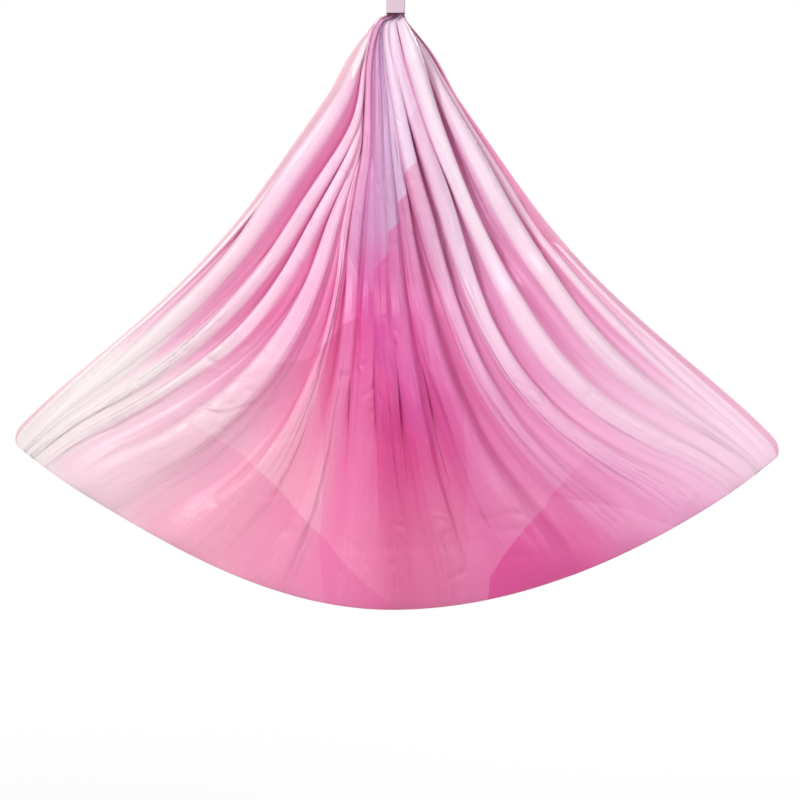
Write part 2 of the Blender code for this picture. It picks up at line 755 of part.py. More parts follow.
def selvedge_angle(reach):
    """Angle of the cloth's side edge off the vertical, seen from the apex; reach is 1 at the bottom edge."""
    to_tip = (TIP_ANGLE - WAIST_ANGLE) * smooth_step((reach - WAIST_BOTTOM_SHARE) / (1 - WAIST_BOTTOM_SHARE))
    below_neck = smooth_step((reach - NECK_END_SHARE) / (WAIST_TOP_SHARE - NECK_END_SHARE))
    to_neck = (NECK_ANGLE - WAIST_ANGLE) * (1 - below_neck)
    return WAIST_ANGLE + to_tip + to_neck


def bottom_reach(across):
    """Distance from the apex to the bottom edge."""
    side_reach = LEFT_REACH if across < 0 else RIGHT_REACH
    return FAN_REACH + (side_reach - FAN_REACH) * smooth_step(abs(across) / TIP_SHARE)


def cloth_point(column, row, apex_height, cuff_bottom):
    """A point of the folded sheet.

    column runs -1 to 1. A row is its side of the loop, its reach from the apex as a share of the fan's,
    and how full its folds are.
    """
    side, reach, fold = row
    wave = math.sin(column * FOLDS * math.pi)
    if reach in (CUFF_TOP, CUFF_BOTTOM):
        height = cuff_bottom + (reach == CUFF_TOP) * (CUFF_HEIGHT - STRAP_THICKNESS)
        return (
            column * (NECK_HALF_WIDTH - CLOTH_THICKNESS / 2),
            side * cuff_centre() + wave * (NECK_HALF_DEPTH - CLOTH_THICKNESS / 2),
            height,
        )
    across = column + SWAG_SHARE * reach**2 * column * abs(column) * (1 - abs(column))
    angle = across * selvedge_angle(reach)
    distance = reach * bottom_reach(across)
    edge = 1 - abs(column) ** 3
    belly = math.sin(math.pi * min(reach, BELLY_END_SHARE)) ** BELLY_POWER_SHARE
    deep = SELVEDGE_HALF_DEPTH + (POCKET_HALF_DEPTH - SELVEDGE_HALF_DEPTH) * edge * belly
    near_neck = smooth_step(reach / WAIST_TOP_SHARE)
    deep = cuff_centre() * (1 - near_neck) + deep * near_neck
    swell = FOLD_DEPTH * edge + SELVEDGE_FOLD_SHARE * SELVEDGE_HALF_DEPTH * (1 - edge)
    swell = NECK_HALF_DEPTH * (1 - near_neck) + swell * near_neck
    return (
        FAN_SHIFT * near_neck + distance * math.sin(angle),
        side * deep * (1.0 if fold else 0.0) + wave * swell * fold,
        apex_height - distance * math.cos(angle),
    )


def add_cloth(hang, material):
    """The sheet, front hem to back hem, with its main folds."""
    cuff_bottom = -LOOP_DROP - CUFF_HEIGHT
    apex_height = -LOOP_DROP - APEX_DROP
    rows = [(-1, reach, fold) for reach, fold in FOLD_ROW_SHARES]
    rows += [(1, 1.0, 0.0)]
    rows += [(1, reach, fold) for reach, fold in reversed(FOLD_ROW_SHARES)]
    columns = 4 * FOLDS
    shape = bmesh.new()
    bmesh.ops.create_grid(shape, x_segments=columns, y_segments=len(rows) - 1, size=1.0)
    for vertex in shape.verts:
        row = rows[round((vertex.co.y + 1) / 2 * (len(rows) - 1))]
        vertex.co = cloth_point(vertex.co.x, row, apex_height, cuff_bottom)
    mesh = bpy.data.meshes.new("hammock_cloth")
    shape.to_mesh(mesh)
    shape.free()
    mesh.shade_smooth()
    cloth = place("hammock_cloth", mesh, hang, material)
    thicken = cloth.modifiers.new("Thickness", "SOLIDIFY")
    thicken.thickness = CLOTH_THICKNESS
    thicken.offset = 0.0


remove_everything()
parts = new_collection("aerial_hammock")
cutters = new_collection("cutters")

steel = new_material("satin_steel", (0.62, 0.63, 0.65), 0.32, 1.0)
bright_steel = new_material("bearing_steel", (0.75, 0.75, 0.76), 0.18, 1.0)
sleeve_metal = new_material("anodised_sleeve", (0.09, 0.09, 0.10), 0.38, 1.0)
swivel_metal = new_material("anodised_swivel", (0.78, 0.78, 0.80), 0.35, 1.0)
bronze_metal = new_material("bronze", (0.62, 0.42, 0.22), 0.35, 1.0)
rubber = new_material("seal_rubber", (0.03, 0.03, 0.03), 0.75, 0.0)
strap_nylon = new_material("strap_webbing", (0.86, 0.84, 0.85), 0.7, 0.0)
cuff_nylon = new_material("cuff_webbing", (0.80, 0.77, 0.79), 0.7, 0.0)
cloth_nylon = new_material("printed_nylon", (0.86, 0.42, 0.66), 0.5, 0.0)

top_shape = CarabinerShape(
    TOP_BAR_RADIUS,
    TOP_HEIGHT,
    (TOP_HALF_WIDTH, TOP_HALF_WIDTH),
    (TOP_CORNER_RADIUS, TOP_CORNER_RADIUS),
    TOP_GATE_SPAN,
)
lower_shape = CarabinerShape(
    LOWER_BAR_RADIUS,
    LOWER_HEIGHT,
    (LOWER_HALF_WIDTH_TOP, LOWER_HALF_WIDTH_BOTTOM),
    (LOWER_TOP_CORNER_RADIUS, LOWER_BOTTOM_CORNER_RADIUS),
    LOWER_GATE_SPAN,
)

# The chain of bodies, each empty on the axis that its body swings or turns about.
top_body = place_empty("top_carabiner", (0, 0, TOP_BAR_RADIUS))
add_carabiner("top", top_shape, top_body, steel, sleeve_metal, bright_steel)

top_bar_to_eye = EYE_HOLE_RADIUS - TOP_BAR_RADIUS - CLEARANCE
swing_axis = place_empty("swivel_swing_axis", (0, 0, -TOP_HEIGHT), top_body)
swivel_body = place_empty("swivel", (0, 0, -top_bar_to_eye), swing_axis)
spin_axis = place_empty("swivel_spin_axis", (0, 0, 0), swivel_body)
lower_eye_drop = add_swivel(
    swivel_body, spin_axis, swivel_metal, bright_steel, rubber, bronze_metal
)

lower_bar_to_eye = EYE_HOLE_RADIUS - LOWER_BAR_RADIUS - CLEARANCE
lower_body = place_empty(
    "lower_carabiner", (0, 0, lower_eye_drop - lower_bar_to_eye), spin_axis, (0, 0, math.radians(90))
)
add_carabiner("lower", lower_shape, lower_body, steel, sleeve_metal, bright_steel)

hang_axis = place_empty("hammock", (0, 0, -LOWER_HEIGHT), lower_body, (0, 0, math.radians(-90)))
for sling_side, sling_name in ((-1, "front"), (1, "back")):
    add_sling(sling_side, sling_name, hang_axis, LOWER_BAR_RADIUS, strap_nylon, cuff_nylon)
add_cloth(hang_axis, cloth_nylon)
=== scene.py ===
"""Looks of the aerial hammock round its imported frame: cloth, webbing, rigging, finishes, light and camera."""
import json
import math

import bmesh
import bpy
import numpy as np
from mathutils import Matrix, Vector

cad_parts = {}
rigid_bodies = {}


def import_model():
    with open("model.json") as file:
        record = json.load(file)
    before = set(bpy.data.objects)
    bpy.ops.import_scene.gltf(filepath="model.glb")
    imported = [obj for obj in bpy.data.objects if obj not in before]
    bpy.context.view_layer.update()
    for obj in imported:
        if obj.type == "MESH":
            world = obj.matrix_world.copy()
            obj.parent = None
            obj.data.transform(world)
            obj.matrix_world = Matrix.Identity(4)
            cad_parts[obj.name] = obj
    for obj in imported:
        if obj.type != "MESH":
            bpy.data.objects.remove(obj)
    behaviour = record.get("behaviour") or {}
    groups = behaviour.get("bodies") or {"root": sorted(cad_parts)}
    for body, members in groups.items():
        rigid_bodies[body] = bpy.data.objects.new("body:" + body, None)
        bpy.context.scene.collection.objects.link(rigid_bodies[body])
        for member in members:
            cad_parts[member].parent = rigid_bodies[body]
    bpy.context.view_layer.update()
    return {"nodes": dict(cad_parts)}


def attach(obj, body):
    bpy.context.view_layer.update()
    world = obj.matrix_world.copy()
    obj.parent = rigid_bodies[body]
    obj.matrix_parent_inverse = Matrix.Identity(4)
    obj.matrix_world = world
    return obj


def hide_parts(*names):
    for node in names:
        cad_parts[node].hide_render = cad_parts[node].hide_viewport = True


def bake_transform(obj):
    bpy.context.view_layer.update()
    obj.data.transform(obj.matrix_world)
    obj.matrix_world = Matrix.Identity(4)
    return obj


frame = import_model()


# The fan's outline, as in the CAD cloth, in metres.
APEX_HEIGHT = -0.3627
FAN_SHIFT = -0.0125
FAN_REACH = 2.003
LEFT_REACH = 1.914
RIGHT_REACH = 1.965
TIP_SHARE = 0.75
TIP_ANGLE = math.radians(41.3)
WAIST_ANGLE = math.radians(34.9)
NECK_ANGLE = math.radians(40.0)
NECK_END = 0.08
WAIST_TOP = 0.20
WAIST_BOTTOM = 0.35
TIP_ROUND = math.radians(1.25)
TIP_ROUND_START = 0.968

# The cloth as it was cut, and the cuffs that hold its two gathered ends.
CLOTH_WIDTH = 2.8
CLOTH_LENGTH = 4.1
CUFF_TOP = -0.3550
CUFF_BOTTOM = -0.3977
CUFF_CENTRE = 0.0148
NECK_HALF_WIDTH = 0.0238
NECK_HALF_DEPTH = 0.0100
NECK_SPREAD = 0.95
NECK_SHIFT_END = 0.045

# Depth of each layer off the middle: at the side edges, and at the belly. From the turn's start on, as a share
# of the way down, the two layers close up, to meet at the bottom edge.
SELVEDGE_DEPTH = 0.016
BELLY_DEPTH = 0.040
BELLY_POWER = 0.7
TURN_START = 0.90

# How much further out the front's flat bands lie than the valleys beside them, and the bands' place and half
# width as shares of the fan's.
BAND_SWELL = 0.040
BAND_PLACE = 0.03
BAND_WIDTH = 0.30

# Depth of a valley below its folds at which the cloth there is fully in their shade, and the share of the
# width beside each side edge over which that shade fades out.
DEEP_VALLEY = 0.028
EDGE_SHADE = 0.06

# Reaches from the apex at which the fold lines' angles are given, as shares of the way to the bottom edge.
LINE_REACHES = (0.04, 0.067, 0.10, 0.15, 0.20, 0.25, 0.317, 0.383, 0.467, 0.55, 0.65, 0.75, 0.85, 0.933, 1.0)

# Valleys of the front layer's folds, left to right, in degrees off the vertical, with the size of each one's
# pleat: above 0 where the cloth on its right lies on top, below 0 where the cloth on its left does.
FRONT_LINES = (
    ((-38.5, -34.5, -28.5, -26.5, -27.8, -29.4, -31.1, -32.2, -33.4, -34.8, -36.6, -38.1, -39.2, -39.9, -40.1), -0.5),
    ((-37.8, -33.5, -25.0, -19.0, -16.6, -18.4, -21.5, -23.8, -26.3, -28.5, -31.2, -34.0, -36.6, -38.4, -39.0), -0.3),
    ((-35.4, -29.6, -22.9, -16.9, -13.4, -14.4, -16.8, -18.8, -21.0, -23.6, -27.0, -30.8, -34.4, -36.9, -37.8), -0.35),
    ((-34.9, -29.0, -22.2, -16.3, -12.7, -11.8, -13.8, -15.3, -16.6, -18.7, -22.3, -27.0, -31.4, -34.9, -36.0), -0.35),
    ((-34.4, -28.4, -21.5, -15.7, -12.0, -10.4, -11.2, -11.4, -11.3, -11.8, -13.4, -16.0, -19.5, -23.5, -26.0), -0.35),
    ((-33.9, -27.8, -20.8, -15.1, -11.4, -9.6, -9.8, -9.8, -9.5, -9.3, -9.4, -10.0, -11.4, -13.4, -15.0), -0.35),
    ((-34.0, -28.9, -22.6, -17.4, -13.4, -10.4, -9.0, -8.2, -7.3, -6.6, -6.0, -5.7, -5.9, -6.6, -7.2), 1),
    ((-31.0, -25.6, -18.6, -13.1, -9.8, -7.9, -5.8, -4.7, -3.9, -3.1, -2.4, -1.8, -1.5, -1.4, -1.4), 1),
    ((-24.0, -15.5, -8.4, -4.2, -2.6, -1.6, -0.9, -0.2, 0.1, 0.6, 0.9, 1.6, 2.4, 3.0, 3.3), -1),
    ((-21.0, -12.8, -6.6, -2.2, -0.4, 0.9, 2.1, 2.8, 3.3, 4.1, 5.1, 6.2, 7.5, 8.8, 9.5), -1),
    ((-17.0, -9.5, -4.0, -0.2, 1.4, 2.6, 4.2, 5.6, 7.2, 8.7, 10.7, 13.3, 16.6, 19.0, 20.0), -0.6),
    ((-8.0, -4.0, 2.2, 5.4, 6.6, 7.6, 8.9, 10.1, 11.3, 12.9, 15.4, 18.6, 22.5, 25.6, 27.0), -0.5),
    ((11.0, 11.5, 12.3, 13.2, 14.2, 14.9, 16.2, 16.7, 17.2, 17.9, 20.1, 23.6, 28.0, 32.0, 33.6), -0.5),
    ((35.2, 33.6, 29.8, 25.0, 22.9, 22.0, 21.6, 21.9, 23.3, 25.1, 26.9, 29.7, 33.5, 36.4, 37.3), -0.5),
    ((36.8, 36.0, 34.4, 31.2, 30.2, 29.9, 29.6, 29.4, 30.1, 31.2, 32.8, 34.9, 37.0, 38.5, 39.0), -0.4),
    ((38.2, 37.9, 36.8, 34.3, 33.3, 32.9, 32.9, 33.2, 33.6, 34.5, 35.9, 37.3, 38.6, 39.5, 39.9), -0.4),
)

# How each of the folds between those lines leans, from -1, steep on its left, to 1, steep on its right.
FRONT_LEANS = (0.7, -0.6, -0.5, -0.7, -0.6, -0.8, -0.5, 0.0, 0.0, 0.4, 0.7, 0.8, 0.6, 0.5, 0.7, 0.6, -0.4)
BACK_LEANS = (0.5, 0.6, -0.5, 0.7, 0.6, -0.4, 0.6, -0.7, 0.5, -0.5, -0.7, 0.5, -0.6, -0.7, 0.6, -0.5, -0.6)

# How full each front fold is, of what its row's folds are. The flat bands between the large pleats are least.
FRONT_FULLNESS = (0.45, 0.62, 1.1, 1.1, 1.0, 0.9, 0.7, 0.12, 0.10, 0.22, 0.60, 1.0, 1.0, 1.0, 1.0, 0.8, 0.6)

# Cloth in a fold over the fold's width, by reach: how deep the folds are on the way down.
GATHER_REACHES = (0.0, 0.1, 0.2, 0.3, 0.4, 0.5, 0.6, 0.7, 0.8, 0.9, 0.97, 1.0)
GATHERS = (3.3, 3.2, 2.9, 2.5, 2.0, 1.64, 1.40, 1.23, 1.11, 1.04, 1.02, 1.0)

# The pleats: half the hidden cloth of one of size 1, how far it turns back, and where large and small ones
# open out. The one over the left side's folds hides more near the top, down to a reach of its own.
PLEAT_HALF = 0.026
PLEAT_TURN = math.radians(174)
PLEAT_OPEN = (0.52, 0.97)
SMALL_PLEAT_OPEN = (0.30, 0.80)
LARGE_PLEAT = 0.8
COVER_PLEAT = 7
COVER_EXTRA = 0.8
COVER_END = 0.30
COVER_HOLD = 0.3

# How a pleat slims as it opens out, and widens again as it flattens: from where, over how much of the opening,
# and by how much. Then where it has turned flat, its widest and least half width, how far it leads its fold
# line, and where along it the turn starts to fade.
PLEAT_SLIMMING = ((0.0, 0.45, -0.90), (0.80, 0.20, 0.60))
PLEAT_FLAT = 0.85
PLEAT_SHARE = 0.09
LEAST_PLEAT = 0.0002
PLEAT_LEAD = 0.65
PLEAT_CURL = 0.68

# Share of a fold's cloth that the pleat at its end takes: at least, and more by its size.
PLEAT_CLOTH = 0.02
PLEAT_CLOTH_BY_SIZE = 0.10

# Folds narrower than this, in metres, are less full. Fold lines keep the gap apart, in metres, or a share of
# the width where it is crowded. The last is the least width of a fold between its pleats.
NARROW_FOLD = 0.012
LEAST_GAP = 0.0025
CROWDED_GAP = 1.6
LEAST_BODY = 0.0005

# How a fold's fullness comes and goes on the way down, and how far it differs from the next one's in that.
WOBBLE = 0.22
WOBBLE_RATE = 7.0
FOLD_PHASE = 2.4

# The back layer's lines: how uneven they are, how they sag and sway, and where they start to join the front's.
BACK_UNEVEN = 0.035
BACK_SAG = 0.55
BACK_SWAY = math.radians(2.2)
BACK_JOIN = 0.35

# How much more of a leaning fold's cloth its long side takes, and the run over cloth from which on it does:
# where that starts, and over how much it grows.
LEAN_SHARE = 0.17
LEAN_START = 0.25
LEAN_GROWTH = 0.35

# Distance below the apex at which the gathered end starts to open into the fan, and over how much it does.
OPENING_START = 0.036
OPENING_LENGTH = 0.034

# Rows over which the fold lines' corners are rounded, either way, and how gently.
ROUNDING_ROWS = 12
ROUNDING_WIDTH = 5.0

# The mesh: steps in a fold and in a pleat's half, rows in a layer above its turn, in the turn and under the
# cuff, and how much closer the rows are at the top.
FOLD_STEPS = 18
PLEAT_STEPS = 7
ROWS = 230
TURN_ROWS = 29
NECK_ROWS = 14
ROW_SPACING = 1.12

# Mean sine and cosine of the slope on one side of a fold, by its steepest slope, which lies near the valley.
SLOPE_BIAS = 0.8
SLOPES = np.linspace(0.0, 2.35, 95)
SIDE_SHAPE = np.sin(math.pi * ((np.arange(200) + 0.5) / 200) ** SLOPE_BIAS)
SLOPE_RISE = np.sin(SLOPES[:, None] * SIDE_SHAPE).mean(1)
SLOPE_RUN = np.cos(SLOPES[:, None] * SIDE_SHAPE).mean(1)
STEEPEST_RISE = int(np.argmax(SLOPE_RISE))

# The print's ground across the cut cloth, near its gathered ends, halfway and at the bottom: place and colour.
TOP_COLOURS = (
    (0.00, 248, 226, 230),
    (0.07, 252, 204, 228),
    (0.30, 252, 192, 224),
    (0.43, 208, 152, 196),
    (0.55, 202, 154, 196),
    (0.70, 236, 206, 230),
    (0.86, 246, 224, 238),
    (1.00, 244, 196, 222),
)
MIDDLE_COLOURS = (
    (0.00, 244, 228, 230),
    (0.08, 247, 203, 222),
    (0.16, 253, 196, 224),
    (0.28, 252, 156, 206),
    (0.46, 220, 82, 160),
    (0.60, 230, 136, 194),
    (0.76, 246, 214, 234),
    (1.00, 246, 213, 228),
)
BOTTOM_COLOURS = (
    (0.10, 240, 230, 230),
    (0.22, 246, 218, 226),
    (0.31, 252, 192, 206),
    (0.39, 244, 138, 182),
    (0.49, 206, 30, 118),
    (0.60, 212, 46, 134),
    (0.77, 244, 180, 216),
    (0.92, 244, 207, 226),
)

# The print's washes. Each starts at a crisp line across the cut cloth and fades away from it: the line's
# slant, its rise along the cloth, where it lies, how far it wanders, and the wash's colour and strength.
WASHES = (
    (0.45, 1.0, 0.43, 0.16, (214, 50, 140), 0.50),
    (0.9, -1.0, 0.14, 0.35, (206, 70, 158), 0.36),
    (-0.7, -1.3, -1.06, 0.40, (250, 216, 232), 0.26),
    (1.2, 0.5, 0.90, 0.30, (236, 140, 196), 0.26),
    (-1.1, 0.8, -0.06, 0.30, (246, 176, 200), 0.36),
    (0.3, 1.4, 0.90, 0.35, (246, 200, 220), 0.26),
    (-0.4, 1.2, 0.40, 0.35, (222, 74, 150), 0.36),
    (-0.5, -1.0, -0.90, 0.25, (206, 40, 130), 0.46),
)

# Screen colours that darken the cloth: painted shade deep in a valley and along a crease, and a darker colour along
# the hem.
PAINTED_VALLEY_SHADE = (238, 150, 206)
PAINTED_CREASE_SHADE = (206, 128, 178)
HEM_TINT = (240, 176, 204)

# Heights of the cloth's fine relief: soft folds, drag lines, creases and the knit.
SOFT_FOLDS = 0.034
DRAG_LINES = 0.0064
CREASES = 0.0130
KNIT = 0.0002

# The webbing: colours, and a yarn's width.
STRAP_COLOUR = (236, 226, 232)
STRAP_YARN = 0.0012
CUFF_COLOUR = (240, 214, 228)
CUFF_YARN = 0.0014

# The metals: colour, roughness, the grain's scale and direction, and the colour of worn edges.
METALS = {
    "satin_steel": ((0.36, 0.365, 0.38), 0.26, 900.0, "Z", (0.56, 0.56, 0.57)),
    "bearing_steel": ((0.48, 0.485, 0.50), 0.16, 1200.0, "X", None),
    "sleeve_aluminium": ((0.085, 0.085, 0.095), 0.38, 900.0, "Z", (0.45, 0.45, 0.47)),
    "swivel_aluminium": ((0.20, 0.20, 0.225), 0.32, 800.0, "Z", (0.50, 0.50, 0.52)),
    "bronze": ((0.50, 0.32, 0.15), 0.32, 700.0, "X", None),
}

# Floor, light and camera. The picture's width is taken at the cloth.
FLOOR_HEIGHT = -3.3
FLOOR_HALF_WIDTH = 40.0
WORLD_LIGHT = 0.46
LAMPS = (
    ("key", (-3.8, -5.4, 2.2), -1.4, 1.5, 234),
    ("fill", (2.6, -6.6, -1.2), -1.5, 3.0, 114),
    ("back", (2.5, 6.5, 0.5), -1.5, 3.5, 230),
)
PICTURE_WIDTH = 2.64
PICTURE_CENTRE = (0.0139, -1.6728)
CAMERA_DISTANCE = 12.0
SENSOR_WIDTH = 36.0

# Webbing loops and cuffs, as in the CAD, from the lower carabiner's bar down.
BAR_CENTRE = -0.3027
STRAP_WIDTH = 0.0158
STRAP_THICKNESS = 0.0028
STRAP_INNER = 0.0064
STRAP_LEG = 0.0268
STRAP_DROP = 0.050
STRAP_TAIL = 0.036
STRAP_AT_BAR = 0.009
CUFF_HALF_WIDTH = 0.0311
CUFF_HALF_DEPTH = 0.0143
CUFF_CORNER = 0.0060
CUFF_WALL = 0.0025
CUFF_HEIGHT = 0.045
WEBBING_ROUND = 0.0011
CUFF_POINT_SPACING = 0.004

# Stitches on the cuffs: their size and spacing, the rows' places below the top, and the crossed box.
STITCH_LENGTH = 0.0030
STITCH_RADIUS = 0.00045
STITCH_PITCH = STITCH_LENGTH * 1.45
SEAM_ROWS = (0.0035, 0.0065, CUFF_HEIGHT - 0.0065, CUFF_HEIGHT - 0.0035)
SEAM_BOX = ((-0.019, -0.0105), (0.019, -0.0105), (0.019, -0.0345), (-0.019, -0.0345))
SEAM_BOX_LINES = ((0, 1), (1, 2), (2, 3), (3, 0), (0, 2), (1, 3))
BEAD_PROFILE = ((0.0, 0.25), (0.12, 0.8), (0.5, 1.0), (0.88, 0.8), (1.0, 0.25))
BEAD_SIDES = 6

# The swivel, as in the CAD. Its turned pieces: radius, height and rounding of each corner.
HOUSING = (
    (0.016, -0.1260, 0),
    (0.021, -0.1260, 0.0006),
    (0.021, -0.1300, 0),
    (0.0205, -0.1305, 0),
    (0.021, -0.1310, 0),
    (0.021, -0.1525, 0),
    (0.0205, -0.1530, 0),
    (0.021, -0.1535, 0),
    (0.021, -0.1580, 0.002),
    (0.008, -0.1580, 0),
    (0.008, -0.1530, 0),
    (0.016, -0.1530, 0),
)
UPPER_STEM = (
    (0, -0.1207, 0),
    (0.021, -0.1207, 0.002),
    (0.021, -0.1257, 0.0006),
    (0.0157, -0.1257, 0),
    (0.0157, -0.1317, 0),
    (0, -0.1317, 0),
)
LOWER_STEM = (
    (0, -0.1343, 0),
    (0.006, -0.1343, 0.0006),
    (0.006, -0.1615, 0),
    (0.0145, -0.1615, 0.0008),
    (0.0145, -0.1660, 0.0008),
    (0, -0.1660, 0),
)

# Its eyes: the sizes of both, the height of each one's foot and centre, and the hole for the nut's pin.
EYE_HOLE = 0.012
EYE_RADIUS = 0.022
EYE_THICKNESS = 0.014
EYE_ROUND = 0.0025
EYE_FOOT = 0.0144
UPPER_EYE_FOOT = -0.1232
UPPER_EYE_CENTRE = -0.1017
LOWER_EYE_FOOT = -0.16375
LOWER_EYE_CENTRE = -0.1840
PIN_HOLE_RADIUS = 0.00155
PIN_HOLE_HEIGHT = -0.1393
PIN_HOLE_LENGTH = 0.024
TURNED_STEPS = 96
CORNER_STEPS = 5
EYE_STEPS = 72
MERGE_DISTANCE = 1e-6

# Edges sharper than this stay sharp.
SHARP_ANGLE = math.radians(35)

# The steel pieces shown with round bends: node, body, and steps of rounding.
ROUNDED = (
    ("top_frame", "top_carabiner", 1),
    ("lower_frame", "lower_carabiner", 1),
    ("top_gate", "top_gate", 0),
    ("lower_gate", "lower_gate", 0),
)

# The gates' springs, along each gate's axis from its pivot: the pivot, and the axis's lean about X.
GATE_AXES = {"top": ((0.0265, 0.0, -0.019), 0.0), "lower": ((0.0, 0.0225518, -0.2089239), math.radians(7.56))}
SPRING_TOP = -0.0145
SPRING_BOTTOM = -0.0287
SPRING_RADIUS = 0.00215
SPRING_WIRE = 0.00035
SPRING_TURNS = 7
SPRING_TURN_STEPS = 20
WIRE_SIDES = 10


def smooth_step(value):
    """The value held to 0..1, with a soft start and end."""
    value = np.clip(value, 0.0, 1.0)
    return value * value * (3 - 2 * value)


def lengths_along(path):
    """Distance along a path to each of its points."""
    return np.concatenate([[0.0], np.cumsum(np.linalg.norm(np.diff(path, axis=0), axis=-1))])


def unit(vectors):
    """The vectors, each brought to a length of 1."""
    return vectors / np.linalg.norm(vectors, axis=-1, keepdims=True)


def bend(start, corner, end, shares):
    """Points at shares of the way along a curve that rounds a corner."""
    shares = shares[:, None]
    return (1 - shares) ** 2 * start + 2 * shares * (1 - shares) * corner + shares**2 * end


def selvedge_angle(reach):
    """Angle of the fan's side edges off the vertical, at a reach from 0 to 1."""
    to_tip = (TIP_ANGLE - WAIST_ANGLE) * smooth_step((reach - WAIST_BOTTOM) / (1 - WAIST_BOTTOM))
    to_neck = (NECK_ANGLE - WAIST_ANGLE) * (1 - smooth_step((reach - NECK_END) / (WAIST_TOP - NECK_END)))
    near_tip = np.clip((reach - TIP_ROUND_START) / (1 - TIP_ROUND_START), 0.0, 1.0)
    return WAIST_ANGLE + to_tip + to_neck - TIP_ROUND * (1 - np.sqrt(1 - 0.999 * near_tip**2))


def bottom_reach(angle):
    """Distance of the bottom edge from the apex along an angle off the vertical."""
    share = np.abs(angle) / TIP_ANGLE
    side_reach = np.where(angle < 0, LEFT_REACH, RIGHT_REACH)
    return FAN_REACH + (side_reach - FAN_REACH) * smooth_step(share / TIP_SHARE)


def layer_depth(side, reach, share):
    """Depth of a layer's valleys off the middle; share runs -1 to 1 across the fan."""
    belly = np.sin(math.pi * min(reach, TURN_START)) ** BELLY_POWER
    deep = SELVEDGE_DEPTH + (BELLY_DEPTH - SELVEDGE_DEPTH) * (1 - np.abs(share) ** 3) * belly
    if side < 0:
        deep = deep + BAND_SWELL * np.exp(-(((share - BAND_PLACE) / BAND_WIDTH) ** 2)) * belly
    turn = np.clip((reach - TURN_START) / (1 - TURN_START), 0.0, 1.0)
    return deep * np.sqrt(1 - turn**2)


def fold_slopes(run, lean):
    """Steepest slopes of a fold's long and short side, and the long side's share of its cloth."""
    long_share = 0.5 + LEAN_SHARE * abs(lean) * float(smooth_step((run - LEAN_START) / LEAN_GROWTH))
    long_rise = SLOPE_RISE * (1 - long_share) / long_share
    long_slope = np.interp(long_rise, SLOPE_RISE[: STEEPEST_RISE + 1], SLOPES[: STEEPEST_RISE + 1])
    whole_run = long_share * np.interp(long_slope, SLOPES, SLOPE_RUN) + (1 - long_share) * SLOPE_RUN
    least = int(np.argmin(whole_run))
    short = np.interp(-run, -whole_run[: least + 1], SLOPES[: least + 1])
    return float(np.interp(short, SLOPES, long_slope)), float(short), long_share


def fold_profile(width, gather, lean, pleats):
    """Steps across and outwards from one valley to the next. pleats: each end's half width and turn."""
    ends = []
    taken = 0.0
    middle = (np.arange(PLEAT_STEPS) + 0.5) / PLEAT_STEPS
    fade = 1 - smooth_step((middle - PLEAT_CURL) / (1 - PLEAT_CURL))
    for half, turn in pleats:
        step = half / PLEAT_STEPS
        ends.append((np.cos(turn * fade) * step, np.sin(turn * fade) * step))
        taken += float(ends[-1][0].sum())
    body_width = max(width - taken, LEAST_BODY)
    long_slope, short_slope, long_share = fold_slopes(1.0 / gather, lean)
    if lean < 0:
        first, second, split = short_slope, long_slope, 1 - long_share
    else:
        first, second, split = long_slope, short_slope, long_share
    at = (np.arange(FOLD_STEPS) + 0.5) / FOLD_STEPS
    rise = np.sin(math.pi * np.clip(at / split, 0, 1) ** SLOPE_BIAS) * first
    fall = np.sin(math.pi * np.clip((1 - at) / (1 - split), 0, 1) ** SLOPE_BIAS) * second
    slope = np.where(at < split, rise, -fall)
    across = np.cos(slope)
    outwards = np.sin(slope)
    scale = body_width / max(across.sum(), 0.05)
    outwards -= outwards.mean()
    steps = [ends[0], (across * scale, outwards * scale), (ends[1][0][::-1], ends[1][1][::-1])]
    return [np.concatenate(part) for part in zip(*steps)]


def front_lines(reaches):
    """The front layer's fold lines at each reach, in radians, with their corners rounded."""
    table = np.array([[np.interp(reach, LINE_REACHES, line) for line, _ in FRONT_LINES] for reach in reaches])
    padded = np.pad(table, ((ROUNDING_ROWS, ROUNDING_ROWS), (0, 0)), mode="edge")
    window = np.arange(-ROUNDING_ROWS, ROUNDING_ROWS + 1)
    kernel = np.exp(-0.5 * (window / ROUNDING_WIDTH) ** 2)[:, None]
    kernel /= kernel.sum()
    return np.radians([(padded[row : row + len(window)] * kernel).sum(0) for row in range(len(table))])


def back_lines(reaches):
    """The back layer's fold lines: a nearly even fan above, and the front's own lines at the bottom edge."""
    bottom = np.radians([line[-1] for line, _ in FRONT_LINES])
    count = len(FRONT_LINES)
    even = (np.arange(count) + 1) / (count + 1) * 2 - 1
    even = even + BACK_UNEVEN * np.sin(np.arange(count) * FOLD_PHASE)
    rows = []
    for reach in reaches:
        swag = even + BACK_SAG * reach**2 * even * np.abs(even) * (1 - np.abs(even))
        fan = swag * selvedge_angle(reach) + BACK_SWAY * math.sin(5.0 * reach) * np.sin(even * 4.0 + 0.6)
        joined = smooth_step((reach - BACK_JOIN) / (1 - BACK_JOIN))
        rows.append(fan * (1 - joined) + bottom * joined)
    return np.array(rows)


def valley_shade(outwards):
    """How deep each point lies below the folds beside it, 0 on their crests and 1 deep down."""
    window = FOLD_STEPS + PLEAT_STEPS
    padded = np.pad(outwards, window, mode="edge")
    crest = np.max([padded[i : i + len(outwards)] for i in range(2 * window + 1)], axis=0)
    place = np.linspace(0, 1, len(outwards))
    inside = smooth_step(np.minimum(place, 1 - place) / EDGE_SHADE)
    return inside * np.clip((crest - outwards) / DEEP_VALLEY, 0.0, 1.0)


